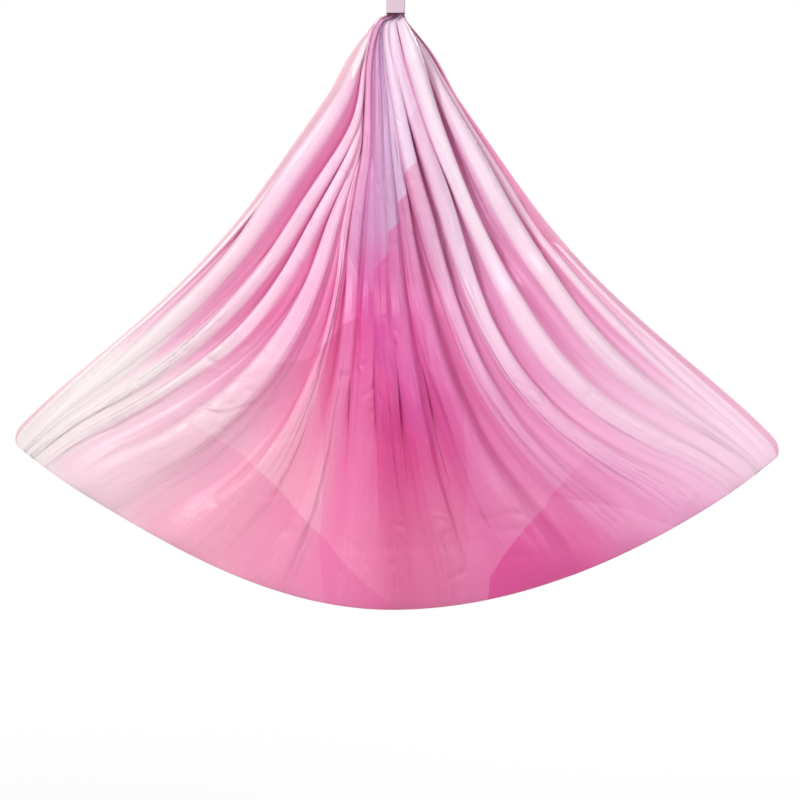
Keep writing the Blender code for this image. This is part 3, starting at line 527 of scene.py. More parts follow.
def pleat_row(pleats, reach, radius, edge):
    """Half width and turn, at one reach, of the pleat at each line."""
    sizes = np.abs(pleats)
    large = sizes > LARGE_PLEAT
    starts = np.where(large, PLEAT_OPEN[0], SMALL_PLEAT_OPEN[0])
    stops = np.where(large, PLEAT_OPEN[1], SMALL_PLEAT_OPEN[1])
    open_out = smooth_step((reach - starts) / (stops - starts))
    cover = np.where(np.arange(len(pleats)) == COVER_PLEAT, COVER_EXTRA, 0.0)
    halves = PLEAT_HALF * sizes * (1 + cover * (1 - smooth_step(reach / COVER_END - COVER_HOLD)))
    slim = 1 + sum(by * smooth_step((open_out - start) / over) for start, over, by in PLEAT_SLIMMING)
    halves = np.minimum(halves * slim, PLEAT_SHARE * radius * edge) + LEAST_PLEAT
    return halves, np.sign(pleats) * PLEAT_TURN * (1 - smooth_step(open_out / PLEAT_FLAT))


def layer_profiles(side, reaches):
    """For each reach: the layer's angles, how far it stands out of its valleys, its edge's angle and shade."""
    front = side < 0
    lines = front_lines(reaches) if front else back_lines(reaches)
    pleats = np.array([0] + [pleat if front else 0 for _, pleat in FRONT_LINES] + [0])
    leans = FRONT_LEANS if front else BACK_LEANS
    profiles = []
    for row, reach in enumerate(reaches):
        edge = float(selvedge_angle(reach))
        radius = reach * FAN_REACH
        marks = np.concatenate([[-edge], lines[row], [edge]])
        least = min(LEAST_GAP / radius, CROWDED_GAP * edge / len(marks))
        for i in range(1, len(marks)):
            marks[i] = max(marks[i], marks[i - 1] + least)
        marks[-1] = edge
        for i in range(len(marks) - 2, 0, -1):
            marks[i] = min(marks[i], marks[i + 1] - least)
        halves, turns = pleat_row(pleats, reach, radius, edge)
        places = marks * radius + PLEAT_LEAD * halves * turns / PLEAT_TURN
        gather = float(np.interp(reach, GATHER_REACHES, GATHERS))
        across, outwards = [np.array([places[0]])], [np.array([0.0])]
        for fold in range(len(marks) - 1):
            width = places[fold + 1] - places[fold]
            phase = WOBBLE_RATE * reach + FOLD_PHASE * fold * side
            wobble = 1 + WOBBLE * math.sin(phase) * math.sin(math.pi * reach)
            fullness = 1 + (gather - 1) * wobble * float(smooth_step(width / NARROW_FOLD))
            if front:
                fullness = 1 + (fullness - 1) * FRONT_FULLNESS[fold]
            ends = ((halves[fold], turns[fold]), (halves[fold + 1], turns[fold + 1]))
            steps = fold_profile(width, fullness, leans[fold], ends)
            across.append(steps[0])
            outwards.append(steps[1])
        across = np.cumsum(np.concatenate(across))
        outwards = np.cumsum(np.concatenate(outwards))
        profiles.append((across / radius, outwards, edge, valley_shade(outwards)))
    return profiles


def column_places():
    """Each column's place across the cut cloth, 0 to 1, and its place in its fold, 0 to 1."""
    half = len(LINE_REACHES) // 2
    middle = np.radians([line[half] for line, _ in FRONT_LINES]) / float(selvedge_angle(LINE_REACHES[half]))
    bottom = np.radians([line[-1] for line, _ in FRONT_LINES]) / TIP_ANGLE
    marks = np.concatenate([[-1.0], (middle + bottom) / 2, [1.0]])
    sizes = np.abs([0] + [pleat for _, pleat in FRONT_LINES] + [0])
    places, phases = [np.array([0.0])], [np.array([0.0])]
    for fold in range(len(marks) - 1):
        start, end = PLEAT_CLOTH + PLEAT_CLOTH_BY_SIZE * sizes[fold : fold + 2]
        counts = np.array((PLEAT_STEPS, FOLD_STEPS, PLEAT_STEPS))
        steps = np.repeat((start, 1 - start - end, end) / counts, counts).cumsum()
        places.append((marks[fold] + (marks[fold + 1] - marks[fold]) * steps + 1) / 2)
        phases.append((np.arange(len(steps)) + 1) / len(steps))
    return np.concatenate(places), np.concatenate(phases)


def layer_points(side, reaches, places, phases):
    """Rows of points of one layer, below its cuff, and how deep each lies in a valley."""
    rows, shades = [], []
    for reach, (angles, outwards, edge, shade) in zip(reaches, layer_profiles(side, reaches)):
        distance = reach * bottom_reach(angles)
        share = angles / edge
        depth = layer_depth(side, reach, np.clip(share, -1, 1)) + outwards
        x = FAN_SHIFT * smooth_step(reach / NECK_SHIFT_END) + distance * np.sin(angles)
        z = APEX_HEIGHT - distance * np.cos(angles)
        fan = np.stack([x, side * depth, z], 1)
        neck = neck_points(side, APEX_HEIGHT - reach * FAN_REACH, places, phases)
        neck[:, 0] *= 1 + NECK_SPREAD * (CUFF_BOTTOM - neck[0, 2]) / NECK_HALF_WIDTH
        below = float(smooth_step((reach * FAN_REACH - OPENING_START) / OPENING_LENGTH))
        rows.append(neck * (1 - below) + fan * below)
        shades.append(shade * below + (1 - below))
    return rows, shades


def neck_points(side, height, places, phases):
    """A row of the gathered end, which zigzags under its cuff."""
    x = (2 * places - 1) * NECK_HALF_WIDTH
    y = side * (CUFF_CENTRE - NECK_HALF_DEPTH * np.cos(2 * math.pi * phases))
    return np.stack([x, y, np.full_like(x, height)], 1)


def add_piece(name, data):
    """An object with that mesh, or other data, in the scene."""
    piece = bpy.data.objects.new(name, data)
    bpy.context.scene.collection.objects.link(piece)
    return piece


def mesh_piece(name, points, faces, coordinates=None):
    """An object with a smooth mesh, and its named coordinates at each face's corners."""
    mesh = bpy.data.meshes.new(name)
    mesh.from_pydata(points, [], faces)
    for layer_name, uvs in (coordinates or {}).items():
        mesh.uv_layers.new(name=layer_name).data.foreach_set("uv", np.array(uvs, dtype=np.float32).ravel())
    mesh.shade_smooth()
    return add_piece(name, mesh)


def finished_mesh(piece):
    """A mesh of the object as its modifiers, or its curve, leave it."""
    bpy.context.view_layer.update()
    return bpy.data.meshes.new_from_object(piece.evaluated_get(bpy.context.evaluated_depsgraph_get()))


def grid_piece(name, rows, coordinates):
    """A mesh of one open sheet from its rows of points, with its named coordinates."""
    count, width = len(rows), len(rows[0])
    index = np.arange(count * width).reshape(count, width)
    faces = np.stack([index[:-1, :-1], index[:-1, 1:], index[1:, 1:], index[1:, :-1]], -1).reshape(-1, 4)
    at_corners = {layer_name: np.concatenate(uvs)[faces.ravel()] for layer_name, uvs in coordinates.items()}
    return mesh_piece(name, np.concatenate(rows).tolist(), faces.tolist(), at_corners)


def make_cloth():
    """The whole sheet: front hem, front layer, turned bottom edge, back layer, back hem."""
    places, phases = column_places()
    first = (APEX_HEIGHT - CUFF_BOTTOM) / FAN_REACH
    upper = first + (TURN_START - first) * (np.arange(ROWS) / ROWS) ** ROW_SPACING
    turn = TURN_START + (1 - TURN_START) * np.sin(np.linspace(0, math.pi / 2, TURN_ROWS))
    reaches = np.concatenate([upper, turn])
    rows, shades = [], []
    for side in (-1, 1):
        heights = np.linspace(CUFF_TOP, CUFF_BOTTOM, NECK_ROWS, endpoint=False)
        below, below_shades = layer_points(side, reaches, places, phases)
        layer = [neck_points(side, height, places, phases) for height in heights] + below
        layer_shades = [np.ones_like(places)] * NECK_ROWS + below_shades
        if side < 0:
            rows += layer
            shades += layer_shades
        else:
            rows[-1] = (rows[-1] + layer[-1]) / 2
            rows += layer[-2::-1]
            shades += layer_shades[-2::-1]
    middle = len(rows) // 2
    steps = np.linalg.norm(np.diff(rows, axis=0), axis=2).mean(1)
    along = np.concatenate([[0.0], np.cumsum(steps)])
    along = np.interp(along, (0.0, along[middle], along[-1]), (0.0, 0.5, 1.0))
    cloth_uvs = [np.stack([places, np.full_like(places, v)], 1) for v in along]
    to_valley = np.minimum(phases, 1 - phases)
    fold_uvs = [np.stack([shade, to_valley], 1) for shade in shades]
    return grid_piece("cloth_sheet", rows, {"cloth": cloth_uvs, "fold": fold_uvs})


def strap_path():
    """A loop's middle line in the XZ plane, from one tail over the bar to the other."""
    radius = STRAP_INNER + STRAP_THICKNESS / 2
    lean = math.asin((STRAP_LEG - radius) / math.hypot(STRAP_LEG, STRAP_DROP)) / 2
    angles = np.linspace(-lean, math.pi / 2, 20)
    over = radius * np.stack([np.cos(angles), np.sin(angles)], 1)
    start = np.array((STRAP_LEG, -STRAP_DROP - STRAP_TAIL))
    corner = np.array((STRAP_LEG, -STRAP_DROP))
    bend_from = start + (corner - start) * 0.85
    bend_to = corner + (over[0] - corner) * 0.14
    tail = np.linspace(start, bend_from, 10)
    turn = bend(bend_from, corner, bend_to, np.linspace(0.1, 1.0, 8))
    leg = bend_to + (over[0] - bend_to) * np.linspace(0.1, 0.95, 14)[:, None]
    half = np.concatenate([tail, turn, leg, over])
    other = half[-2::-1] * (-1, 1)
    return np.concatenate([half, other])


def tube_faces(rings, count, closed, first=0):
    """Faces between rings of points, and over the ends of an open tube. The points count on from the first."""
    corners = ((0, 0), (0, 1), (1, 1), (1, 0))
    faces = [
        [first + (i + ahead) % rings * count + (j + beside) % count for ahead, beside in corners]
        for i in range(rings if closed else rings - 1)
        for j in range(count)
    ]
    if not closed:
        faces.append([first + j for j in reversed(range(count))])
        faces.append([first + (rings - 1) * count + j for j in range(count)])
    return faces


def swept_piece(name, frames, section, closed):
    """A tube with the section's outline at each frame: origin, across and up. UV in metres."""
    points = [tuple(origin + across * u + up * v) for origin, across, up in frames for u, v in section]
    along = lengths_along([origin for origin, _, _ in frames])
    if closed:
        along = np.append(along, along[-1] + along[1])
    around = lengths_along(section + section[:1])
    uvs = []
    for here, ahead in zip(along, along[1:]):
        for left, right in zip(around, around[1:]):
            uvs += [(left, here), (right, here), (right, ahead), (left, ahead)]
    if not closed:
        uvs += section[::-1] + section
    return mesh_piece(name, points, tube_faces(len(frames), len(section), closed), {"cloth": uvs})


def circle(radius, count):
    """Points of a circle."""
    angles = np.arange(count) * 2 * math.pi / count
    return [(radius * math.cos(a), radius * math.sin(a)) for a in angles]


def rounded_box(half_width, half_height, radius, steps=4):
    """The outline of a rectangle with rounded corners."""
    outline = []
    for quarter, (u, v) in enumerate(((1, 1), (-1, 1), (-1, -1), (1, -1))):
        for a in np.linspace(0, math.pi / 2, steps + 1) + quarter * math.pi / 2:
            outline.append((
                u * (half_width - radius) + radius * math.cos(a),
                v * (half_height - radius) + radius * math.sin(a),
            ))
    return outline


def make_loop(side, name):
    """A webbing loop over the carabiner's bar, its legs down in the cuff."""
    path = strap_path()
    ahead = unit(np.gradient(path, axis=0))
    frames = []
    for (x, z), (dx, dz) in zip(path, ahead):
        down = float(smooth_step(-z / STRAP_DROP))
        y = side * (STRAP_AT_BAR + (CUFF_CENTRE - STRAP_AT_BAR) * down)
        frames.append((np.array((x, y, BAR_CENTRE + z)), np.array((0.0, 1.0, 0.0)), np.array((-dz, 0.0, dx))))
    section = rounded_box(STRAP_WIDTH / 2, STRAP_THICKNESS / 2, WEBBING_ROUND)
    return swept_piece(name, frames, section, closed=False)


def cuff_outline(shrink=0.0):
    """Points round a cuff seen from above, evenly close, that far inside its outer face."""
    corner = CUFF_CORNER - shrink
    corners = rounded_box(CUFF_HALF_WIDTH - shrink, CUFF_HALF_DEPTH - shrink, corner, 5)
    points = []
    for a, b in zip(corners, corners[1:] + corners[:1]):
        parts = max(1, round(math.dist(a, b) / CUFF_POINT_SPACING))
        points.append(np.linspace(a, b, parts, endpoint=False))
    return np.concatenate(points)


def make_cuff(side, name):
    """A sewn webbing cuff round the gathered end, with rounded edges."""
    outline = cuff_outline(CUFF_WALL / 2)
    ahead = unit(np.roll(outline, -1, 0) - np.roll(outline, 1, 0))
    middle = BAR_CENTRE - STRAP_DROP - CUFF_HEIGHT / 2
    up = np.array((0.0, 0.0, 1.0))
    section = rounded_box(CUFF_WALL / 2, CUFF_HEIGHT / 2, WEBBING_ROUND)
    frames = []
    for (x, y), (dx, dy) in zip(outline, ahead):
        frames.append((np.array((x, side * CUFF_CENTRE + y, middle)), np.array((dy, -dx, 0.0)), up))
    return swept_piece(name, frames, section, closed=True)


def stitch_places(side):
    """Start and end of each stitch on a cuff: two rows along each edge, and a crossed box in front."""
    top = BAR_CENTRE - STRAP_DROP
    outline = cuff_outline()
    loop = np.concatenate([outline, outline[:1]])
    length = lengths_along(loop)
    pairs = []
    for below in SEAM_ROWS:
        for mark in np.arange(0.0, length[-1] - STITCH_LENGTH, STITCH_PITCH):
            ends = []
            for at in (mark, mark + STITCH_LENGTH):
                x, y = (np.interp(at, length, loop[:, axis]) for axis in (0, 1))
                ends.append((x, side * CUFF_CENTRE + y, top - below))
            pairs.append(ends)
    face = side * (CUFF_CENTRE + CUFF_HALF_DEPTH)
    for a, b in SEAM_BOX_LINES:
        start, end = np.array(SEAM_BOX[a]), np.array(SEAM_BOX[b])
        count = int(np.linalg.norm(end - start) / STITCH_PITCH)
        for k in range(count):
            ends = [start + (end - start) * (k + share) / count for share in (0.16, 0.84)]
            pairs.append([(x, face, top + z) for x, z in ends])
    return pairs


def make_stitches(side, name):
    """Thread stitches on a cuff, each a short bead with rounded ends."""
    points, faces = [], []
    for start, end in stitch_places(side):
        start, end = Vector(start), Vector(end)
        direction = (end - start).normalized()
        first = direction.cross(Vector((0.3, 0.9, 0.2))).normalized()
        second = direction.cross(first)
        faces += tube_faces(len(BEAD_PROFILE), BEAD_SIDES, False, len(points))
        for share, radius in BEAD_PROFILE:
            middle = start + (end - start) * share
            for u, v in circle(radius * STITCH_RADIUS, BEAD_SIDES):
                points.append(tuple(middle + first * u + second * v))
    return mesh_piece(name, points, faces)


def make_spring(name, pivot, lean):
    """A gate's coil spring, and the points of its still and its pressed end."""
    count = SPRING_TURNS * SPRING_TURN_STEPS
    axis = np.array((0.0, -math.sin(lean), math.cos(lean)))
    beside = np.array((0.0, math.cos(lean), math.sin(lean)))
    across = np.array((1.0, 0.0, 0.0))
    frames = []
    for step in range(count + 1):
        angle = 2 * math.pi * step / SPRING_TURN_STEPS
        height = SPRING_BOTTOM + (SPRING_TOP - SPRING_BOTTOM) * step / count
        outwards = across * math.cos(angle) + beside * math.sin(angle)
        frames.append((np.array(pivot) + axis * height + outwards * SPRING_RADIUS, outwards, axis))
    section = circle(SPRING_WIRE, WIRE_SIDES)
    spring = swept_piece(name, frames, section, closed=False)
    return spring, [tuple(np.array(pivot) + axis * height) for height in (SPRING_BOTTOM, SPRING_TOP)]


def rounded_corner(before, corner, after, radius):
    """Points round one corner of a profile."""
    start, end = (corner + unit(other - corner) * radius for other in (before, after))
    return bend(start, corner, end, np.linspace(0, 1, CORNER_STEPS))


def closed_up(shape):
    """The shape with its points merged and its faces turned outwards."""
    bmesh.ops.remove_doubles(shape, verts=shape.verts, dist=MERGE_DISTANCE)
    bmesh.ops.recalc_face_normals(shape, faces=shape.faces)
    return shape


def turned_shape(profile, closed):
    """A shape turned about Z from the radius, height and rounding of each of its profile's corners."""
    corners = np.array(profile)[:, :2]
    points = []
    for i, (_, _, radius) in enumerate(profile):
        if radius:
            points += list(rounded_corner(corners[i - 1], corners[i], corners[(i + 1) % len(corners)], radius))
        else:
            points.append(corners[i])
    count = len(points)
    shape = bmesh.new()
    rings = [[shape.verts.new((x, y, z)) for x, y in circle(r, TURNED_STEPS)] for r, z in points]
    for i in range(count if closed else count - 1):
        ring, following = rings[i], rings[(i + 1) % count]
        for k in range(TURNED_STEPS):
            m = (k + 1) % TURNED_STEPS
            shape.faces.new((ring[k], ring[m], following[m], following[k]))
    return closed_up(shape)


def eye_plate(foot_height, centre, turn):
    """A swivel's eye with rounded edges, without its stem: a ring whose sides run straight to its foot."""
    reach = math.hypot(EYE_FOOT, foot_height)
    start = math.atan2(abs(foot_height), EYE_FOOT) - math.acos(EYE_RADIUS / reach)
    sweep = np.linspace(start, -math.pi - start, EYE_STEPS + 8)
    side = math.copysign(1, foot_height)
    outline = [(EYE_FOOT, foot_height)]
    outline += [(EYE_RADIUS * math.cos(a), side * EYE_RADIUS * math.sin(a)) for a in sweep]
    outline.append((-EYE_FOOT, foot_height))
    curve = bpy.data.curves.new("eye_outline", "CURVE")
    curve.dimensions = "2D"
    curve.fill_mode = "BOTH"
    curve.extrude = EYE_THICKNESS / 2 - EYE_ROUND
    curve.bevel_depth = EYE_ROUND
    curve.bevel_resolution = 4
    curve.offset = -EYE_ROUND
    for ring in (outline, circle(EYE_HOLE, EYE_STEPS)):
        spline = curve.splines.new("POLY")
        spline.points.add(len(ring) - 1)
        spline.points.foreach_set("co", np.array([(x, y, 0.0, 1.0) for x, y in ring]).ravel())
        spline.use_cyclic_u = True
    mesh = finished_mesh(add_piece("eye_outline", curve))
    bpy.data.curves.remove(curve)
    mesh.transform(Matrix.Rotation(math.radians(90), 4, "X"))
    mesh.transform(Matrix.Translation((0, 0, centre)) @ Matrix.Rotation(turn, 4, "Z"))
    plate = bmesh.new()
    plate.from_mesh(mesh)
    bpy.data.meshes.remove(mesh)
    return closed_up(plate)


def set_shading(mesh):
    """Smooth shading but for the mesh's sharp edges."""
    mesh.shade_smooth()
    mesh.set_sharp_from_angle(angle=SHARP_ANGLE)


def shape_piece(name, shape):
    """An object from a shape under work."""
    mesh = bpy.data.meshes.new(name)
    shape.to_mesh(mesh)
    shape.free()
    set_shading(mesh)
    return add_piece(name, mesh)


def settle(piece):
    """Applies a piece's modifier and shades it."""
    mesh = finished_mesh(piece)
    piece.modifiers.clear()
    piece.data = mesh
    set_shading(mesh)


def combine(piece, shape, operation):
    """Joins a shape to a piece, or cuts it out of it."""
    other = shape_piece("other_shape", shape)
    joint = piece.modifiers.new("joint", "BOOLEAN")
    joint.operation = operation
    joint.solver = "EXACT"
    joint.object = other
    settle(piece)
    bpy.data.objects.remove(other)


def make_eye(name, foot, centre, turn, stem):
    """A swivel's eye on its turned stem."""
    piece = shape_piece(name, turned_shape(stem, closed=False))
    combine(piece, eye_plate(foot - centre, centre, turn), "UNION")
    return piece


def rounded_copy(name, node, level):
    """A copy of a CAD piece with round bends and its own sharp edges, subdivided as often as level says."""
    shape = bmesh.new()
    shape.from_mesh(frame["nodes"][node].data)
    bmesh.ops.remove_doubles(shape, verts=shape.verts, dist=2 * MERGE_DISTANCE)
    bmesh.ops.dissolve_limit(shape, angle_limit=math.radians(1), verts=shape.verts, edges=shape.edges)
    crease = shape.edges.layers.float.new("crease_edge")
    for edge in shape.edges:
        edge[crease] = float(edge.calc_face_angle(0.0) > SHARP_ANGLE)
    piece = shape_piece(name, shape)
    normals = piece.data.attributes.get("custom_normal")
    if normals:
        piece.data.attributes.remove(normals)
    if level:
        rounding = piece.modifiers.new("rounding", "SUBSURF")
        rounding.levels = rounding.render_levels = level
    settle(piece)
    return piece


def make_swivel():
    """The swivel's outer pieces, each with the node that it stands for and the body that it rides on."""
    quarter = math.radians(90)
    upper_eye = make_eye("upper_eye_forging", UPPER_EYE_FOOT, UPPER_EYE_CENTRE, quarter, UPPER_STEM)
    lower_eye = make_eye("lower_eye_forging", LOWER_EYE_FOOT, LOWER_EYE_CENTRE, 0.0, LOWER_STEM)
    pin_hole = bmesh.new()
    bmesh.ops.create_cone(
        pin_hole,
        cap_ends=True,
        segments=24,
        radius1=PIN_HOLE_RADIUS,
        radius2=PIN_HOLE_RADIUS,
        depth=PIN_HOLE_LENGTH,
        matrix=Matrix.Translation((0, 0, PIN_HOLE_HEIGHT)) @ Matrix.Rotation(quarter, 4, "X"),
    )
    combine(lower_eye, pin_hole, "DIFFERENCE")
    housing = shape_piece("swivel_housing_shell", turned_shape(HOUSING, closed=True))
    return (
        (housing, "swivel_housing", "swivel_upper"),
        (upper_eye, "swivel_upper_eye", "swivel_upper"),
        (lower_eye, "swivel_lower_eye", "swivel_lower"),
    )


class NodeTree:
    """A node tree under work, with short calls for its nodes."""

    def __init__(self, tree):
        self.nodes = tree.nodes
        self.links = tree.links

    def feed(self, socket, value):
        """Links a socket to the value, or sets it."""
        if isinstance(value, bpy.types.NodeSocket):
            self.links.new(value, socket)
        elif socket.type == "RGBA":
            socket.default_value = (*value, 1.0)
        else:
            socket.default_value = value

    def add(self, kind, inputs=(), **settings):
        """The outputs of a new node. inputs holds pairs: a socket's name or number, and its value."""
        node = self.nodes.new("ShaderNode" + kind)
        for name, value in settings.items():
            setattr(node, name, value)
        for socket, value in inputs:
            self.feed(node.inputs[socket], value)
        return node.outputs

    def math(self, operation, *values):
        return self.add("Math", enumerate(values), operation=operation)[0]

    def times(self, product, *values):
        """The product of two or more values."""
        for value in values:
            product = self.math("MULTIPLY", product, value)
        return product

    def swing(self, noise, by):
        """How far a noise lies from its middle, times that."""
        return self.times(self.math("SUBTRACT", noise, 0.5), by)

    def step(self, value, low, high, to_low=0.0, to_high=1.0):
        """The value brought smoothly from low..high to to_low..to_high."""
        inputs = enumerate((value, low, high, to_low, to_high))
        return self.add("MapRange", inputs, interpolation_type="SMOOTHSTEP")[0]

    def blend(self, factor, first, second, mode="MIX"):
        """Two colours blended."""
        inputs = ((0, factor), (6, first), (7, second))
        return self.add("Mix", inputs, data_type="RGBA", blend_type=mode)[2]

    def place(self, source, scale=(1.0, 1.0, 1.0), offset=(0, 0, 0)):
        """Texture coordinates, scaled. source is Object or UV."""
        inputs = (("Vector", self.add("TexCoord")[source]), ("Scale", scale), ("Location", offset))
        return self.add("Mapping", inputs)[0]

    def cut(self, offset=(0, 0, 0)):
        """Places on the cloth in metres, as it was cut."""
        return self.place("UV", (CLOTH_WIDTH, CLOTH_LENGTH, 1.0), offset)

    def noise(self, where, scale, detail=2.0, roughness=0.5, distortion=0.0, kind="FBM"):
        values = {"Scale": scale, "Detail": detail, "Roughness": roughness, "Distortion": distortion}
        return self.add("TexNoise", (("Vector", where), *values.items()), noise_type=kind)[0]

    def wave(self, where, scale, direction):
        """Even bands across a direction."""
        return self.add("TexWave", (("Vector", where), ("Scale", scale)), bands_direction=direction)[1]

    def ramp(self, value, stops):
        """Screen colours at places from 0 to 1."""
        node = self.nodes.new("ShaderNodeValToRGB")
        node.color_ramp.interpolation = "EASE"
        elements = node.color_ramp.elements
        while len(elements) < len(stops):
            elements.new(0.5)
        for element, (place, *colour) in zip(elements, stops):
            element.position = place
            element.color = (*linear(*colour), 1.0)
        self.links.new(value, node.inputs[0])
        return node.outputs[0]

    def split(self, where):
        """The vector's first two values."""
        return self.add("SeparateXYZ", ((0, where),))[:2]

    def seen_directly(self):
        """1 for what is seen straight on, in a reflection or through glass, and 0 for all other light."""
        path = self.add("LightPath")
        seen = self.math("MAXIMUM", path["Is Camera Ray"], path["Is Glossy Ray"])
        return self.math("MAXIMUM", seen, path["Is Transmission Ray"])

    def end(self, output, factor, first, second):
        """Leads a mix of two shaders into the tree's output."""
        mixed = self.add("MixShader", enumerate((factor, first, second)))[0]
        self.links.new(mixed, self.nodes[output].inputs["Surface"])


class Surface(NodeTree):
    """A material under work."""

    def __init__(self, name, roughness, metallic=0.0):
        self.material = bpy.data.materials.new(name + "_finish")
        self.material.use_nodes = True
        super().__init__(self.material.node_tree)
        self.shader = self.nodes["Principled BSDF"]
        self.set("Roughness", roughness)
        self.set("Metallic", metallic)

    def set(self, name, value):
        """Gives one of the shader's own sockets its value."""
        self.feed(self.shader.inputs[name], value)

    def bump(self, height, distance, strength=1.0):
        """Adds a bump on top of those added before."""
        normal = self.shader.inputs["Normal"]
        inputs = [("Height", height), ("Distance", distance), ("Strength", strength)]
        inputs += [("Normal", link.from_socket) for link in normal.links]
        self.links.new(self.add("Bump", inputs)[0], normal)


def linear(red, green, blue):
    """A screen colour, 0 to 255, as the shader takes it."""
    return tuple(
        value / 255 / 12.92 if value <= 10 else ((value / 255 + 0.055) / 1.055) ** 2.4
        for value in (red, green, blue)
    )


def darker(tint, share):
    return tuple(share * value for value in tint)


def printed_nylon():
    """Satin nylon tricot with a pale-to-magenta wash print, laid out along the cut cloth, and painted shade in its
    valleys and creases.
    """
    s = Surface("printed_nylon", 0.40)
    across, along = s.split(s.place("UV"))
    wander = s.math("ADD", across, s.swing(s.noise(s.cut(), 0.9, 3.0, 0.55), 0.10))
    from_bottom = s.math("ABSOLUTE", s.math("SUBTRACT", along, 0.5))
    low = s.math("ADD", from_bottom, s.swing(s.noise(s.cut((3.1, 7.7, 0.0)), 2.2, 3.0, 0.6), 0.10))
    colour = s.blend(s.step(low, 0.11, 0.25), s.ramp(wander, BOTTOM_COLOURS), s.ramp(wander, MIDDLE_COLOURS))
    colour = s.blend(s.step(low, 0.24, 0.31), colour, s.ramp(wander, TOP_COLOURS))
    central = s.step(s.math("ABSOLUTE", s.math("SUBTRACT", across, 0.5)), 0.36, 0.14, 0.06, 1.0)
    for slant, rise, start, wandering, tint, strength in WASHES:
        line = s.math("ADD", s.times(across, slant), s.times(along, rise))
        drift = s.noise(s.cut((start * 9.0, 2.0 - start * 5.0, 0.0)), 0.75, 1.0, 0.4)
        line = s.math("SUBTRACT", s.math("ADD", line, s.swing(drift, wandering)), start)
        wash = s.times(s.step(line, 0.0, 0.003), s.step(line, 0.30, 0.01), central, strength)
        colour = s.blend(wash, colour, linear(*tint))

    shade, to_valley = s.split(s.add("UVMap", uv_map="fold")[0])
    to_edge = s.math("MINIMUM", across, s.math("SUBTRACT", 1.0, across))
    inside = s.step(to_edge, 0.03, 0.12)
    open_cloth = s.times(s.step(to_valley, 0.22, 0.36), inside)
    # Painted shade: the cloth is darkened deep in its valleys, less so near the bottom edge. It is also darkened along
    # the creases where a fold meets its pleat, fading near the bottom and side edges.
    deep = s.times(s.step(shade, 0.25, 1.0), s.step(from_bottom, 0.02, 0.24, 0.22, 1.0), 0.62)
    painted_crease_shade = s.times(s.step(to_valley, 0.30, 0.225), s.step(from_bottom, 0.10, 0.22), inside, 0.50)
    hem = s.times(s.step(to_edge, 0.0100, 0.0088), 0.55)
    # The painted valley and crease shade, and the hem's darker colour, are multiplied into the print.
    for share, tint in ((deep, PAINTED_VALLEY_SHADE), (painted_crease_shade, PAINTED_CREASE_SHADE), (hem, HEM_TINT)):
        colour = s.blend(share, colour, linear(*tint), "MULTIPLY")
    s.set("Base Color", colour)
    s.set("Sheen Weight", 0.16)
    s.set("Sheen Roughness", 0.40)
    s.set("Specular IOR Level", 0.52)
    s.set("Roughness", s.step(s.noise(s.cut(), 6.0, 3.0), 0.3, 0.7, 0.30, 0.42))

    folds = s.noise(s.place("UV", (34.0, 3.6, 1.0)), 1.0, 2.0, 0.5, 0.4)
    drags = s.noise(s.place("UV", (110.0, 13.0, 1.0)), 1.0, 3.0, 0.55, 0.3)
    creases = s.noise(s.cut(), 9.0, 5.0, 0.7, 1.2, kind="RIDGED_MULTIFRACTAL")
    patches = s.step(s.noise(s.cut((4.0, 1.0, 0.0)), 2.6, 2.0), 0.42, 0.66, 0.15, 1.0)
    s.bump(s.swing(folds, open_cloth), SOFT_FOLDS)
    s.bump(s.swing(drags, open_cloth), DRAG_LINES)
    s.bump(s.times(patches, open_cloth, creases), CREASES)
    s.bump(s.wave(s.cut(), 300.0, "X"), KNIT, 0.3)
    return s.material


def woven_webbing(name, screen_colour, yarn):
    """Nylon webbing: a herringbone weave in bump and colour, with UVs in metres. yarn is a yarn's width."""
    s = Surface(name, 0.62)
    tint = linear(*screen_colour)
    across, along = s.split(s.place("UV"))
    ribs = s.math("SINE", s.times(across, 2 * math.pi / yarn))
    slant = s.math("PINGPONG", across, yarn * 3)
    picks = s.math("SINE", s.times(s.math("ADD", along, slant), 2 * math.pi / (yarn * 0.8)))
    weave = s.times(ribs, picks)
    soil = s.noise(s.place("Object"), 45.0, 3.0, 0.55)
    colour = s.blend(s.step(weave, -0.9, 0.7), darker(tint, 0.72), tint)
    s.set("Base Color", s.blend(s.step(soil, 0.45, 0.80, 0.0, 0.22), colour, darker(tint, 0.55)))
    s.set("Roughness", s.step(weave, -1.0, 1.0, 0.74, 0.56))
    s.set("Sheen Weight", 0.25)
    s.bump(weave, 0.00025, 0.8)
    s.bump(s.noise(s.place("Object"), 420.0, 3.0, 0.6), 0.00012, 0.6)
    return s.material


def sewing_thread():
    """Twisted thread."""
    s = Surface("thread", 0.5)
    twist = s.wave(s.place("Object"), 900.0, "DIAGONAL")
    s.set("Base Color", s.blend(twist, linear(214, 196, 210), linear(250, 240, 246)))
    s.bump(twist, 0.0001, 0.6)
    return s.material


def worked_metal(name, tint, roughness, grain, direction, worn):
    """Bare or anodised metal with a fine grain along one direction, smears, and wear on its proud edges."""
    s = Surface(name, roughness, 1.0)
    drawn_out = [0.06 if axis == direction else 1.0 for axis in "XYZ"]
    streaks = s.noise(s.place("Object", drawn_out), grain, 3.0, 0.6)
    smears = s.noise(s.place("Object"), 70.0, 3.0, 0.55)
    colour = s.blend(s.step(streaks, 0.35, 0.65, 0.0, 0.35), tint, darker(tint, 0.78))
    colour = s.blend(s.step(smears, 0.50, 0.75, 0.0, 0.30), colour, darker(tint, 0.86))
    if worn:
        scuffs = s.math("ADD", s.add("NewGeometry")["Pointiness"], s.swing(smears, 0.10))
        colour = s.blend(s.step(scuffs, 0.53, 0.60, 0.0, 0.7), colour, worn)
    s.set("Base Color", colour)
    s.set("Roughness", s.step(smears, 0.3, 0.7, roughness - 0.08, roughness + 0.12))
    s.bump(streaks, 0.00006, 0.5)
    return s.material


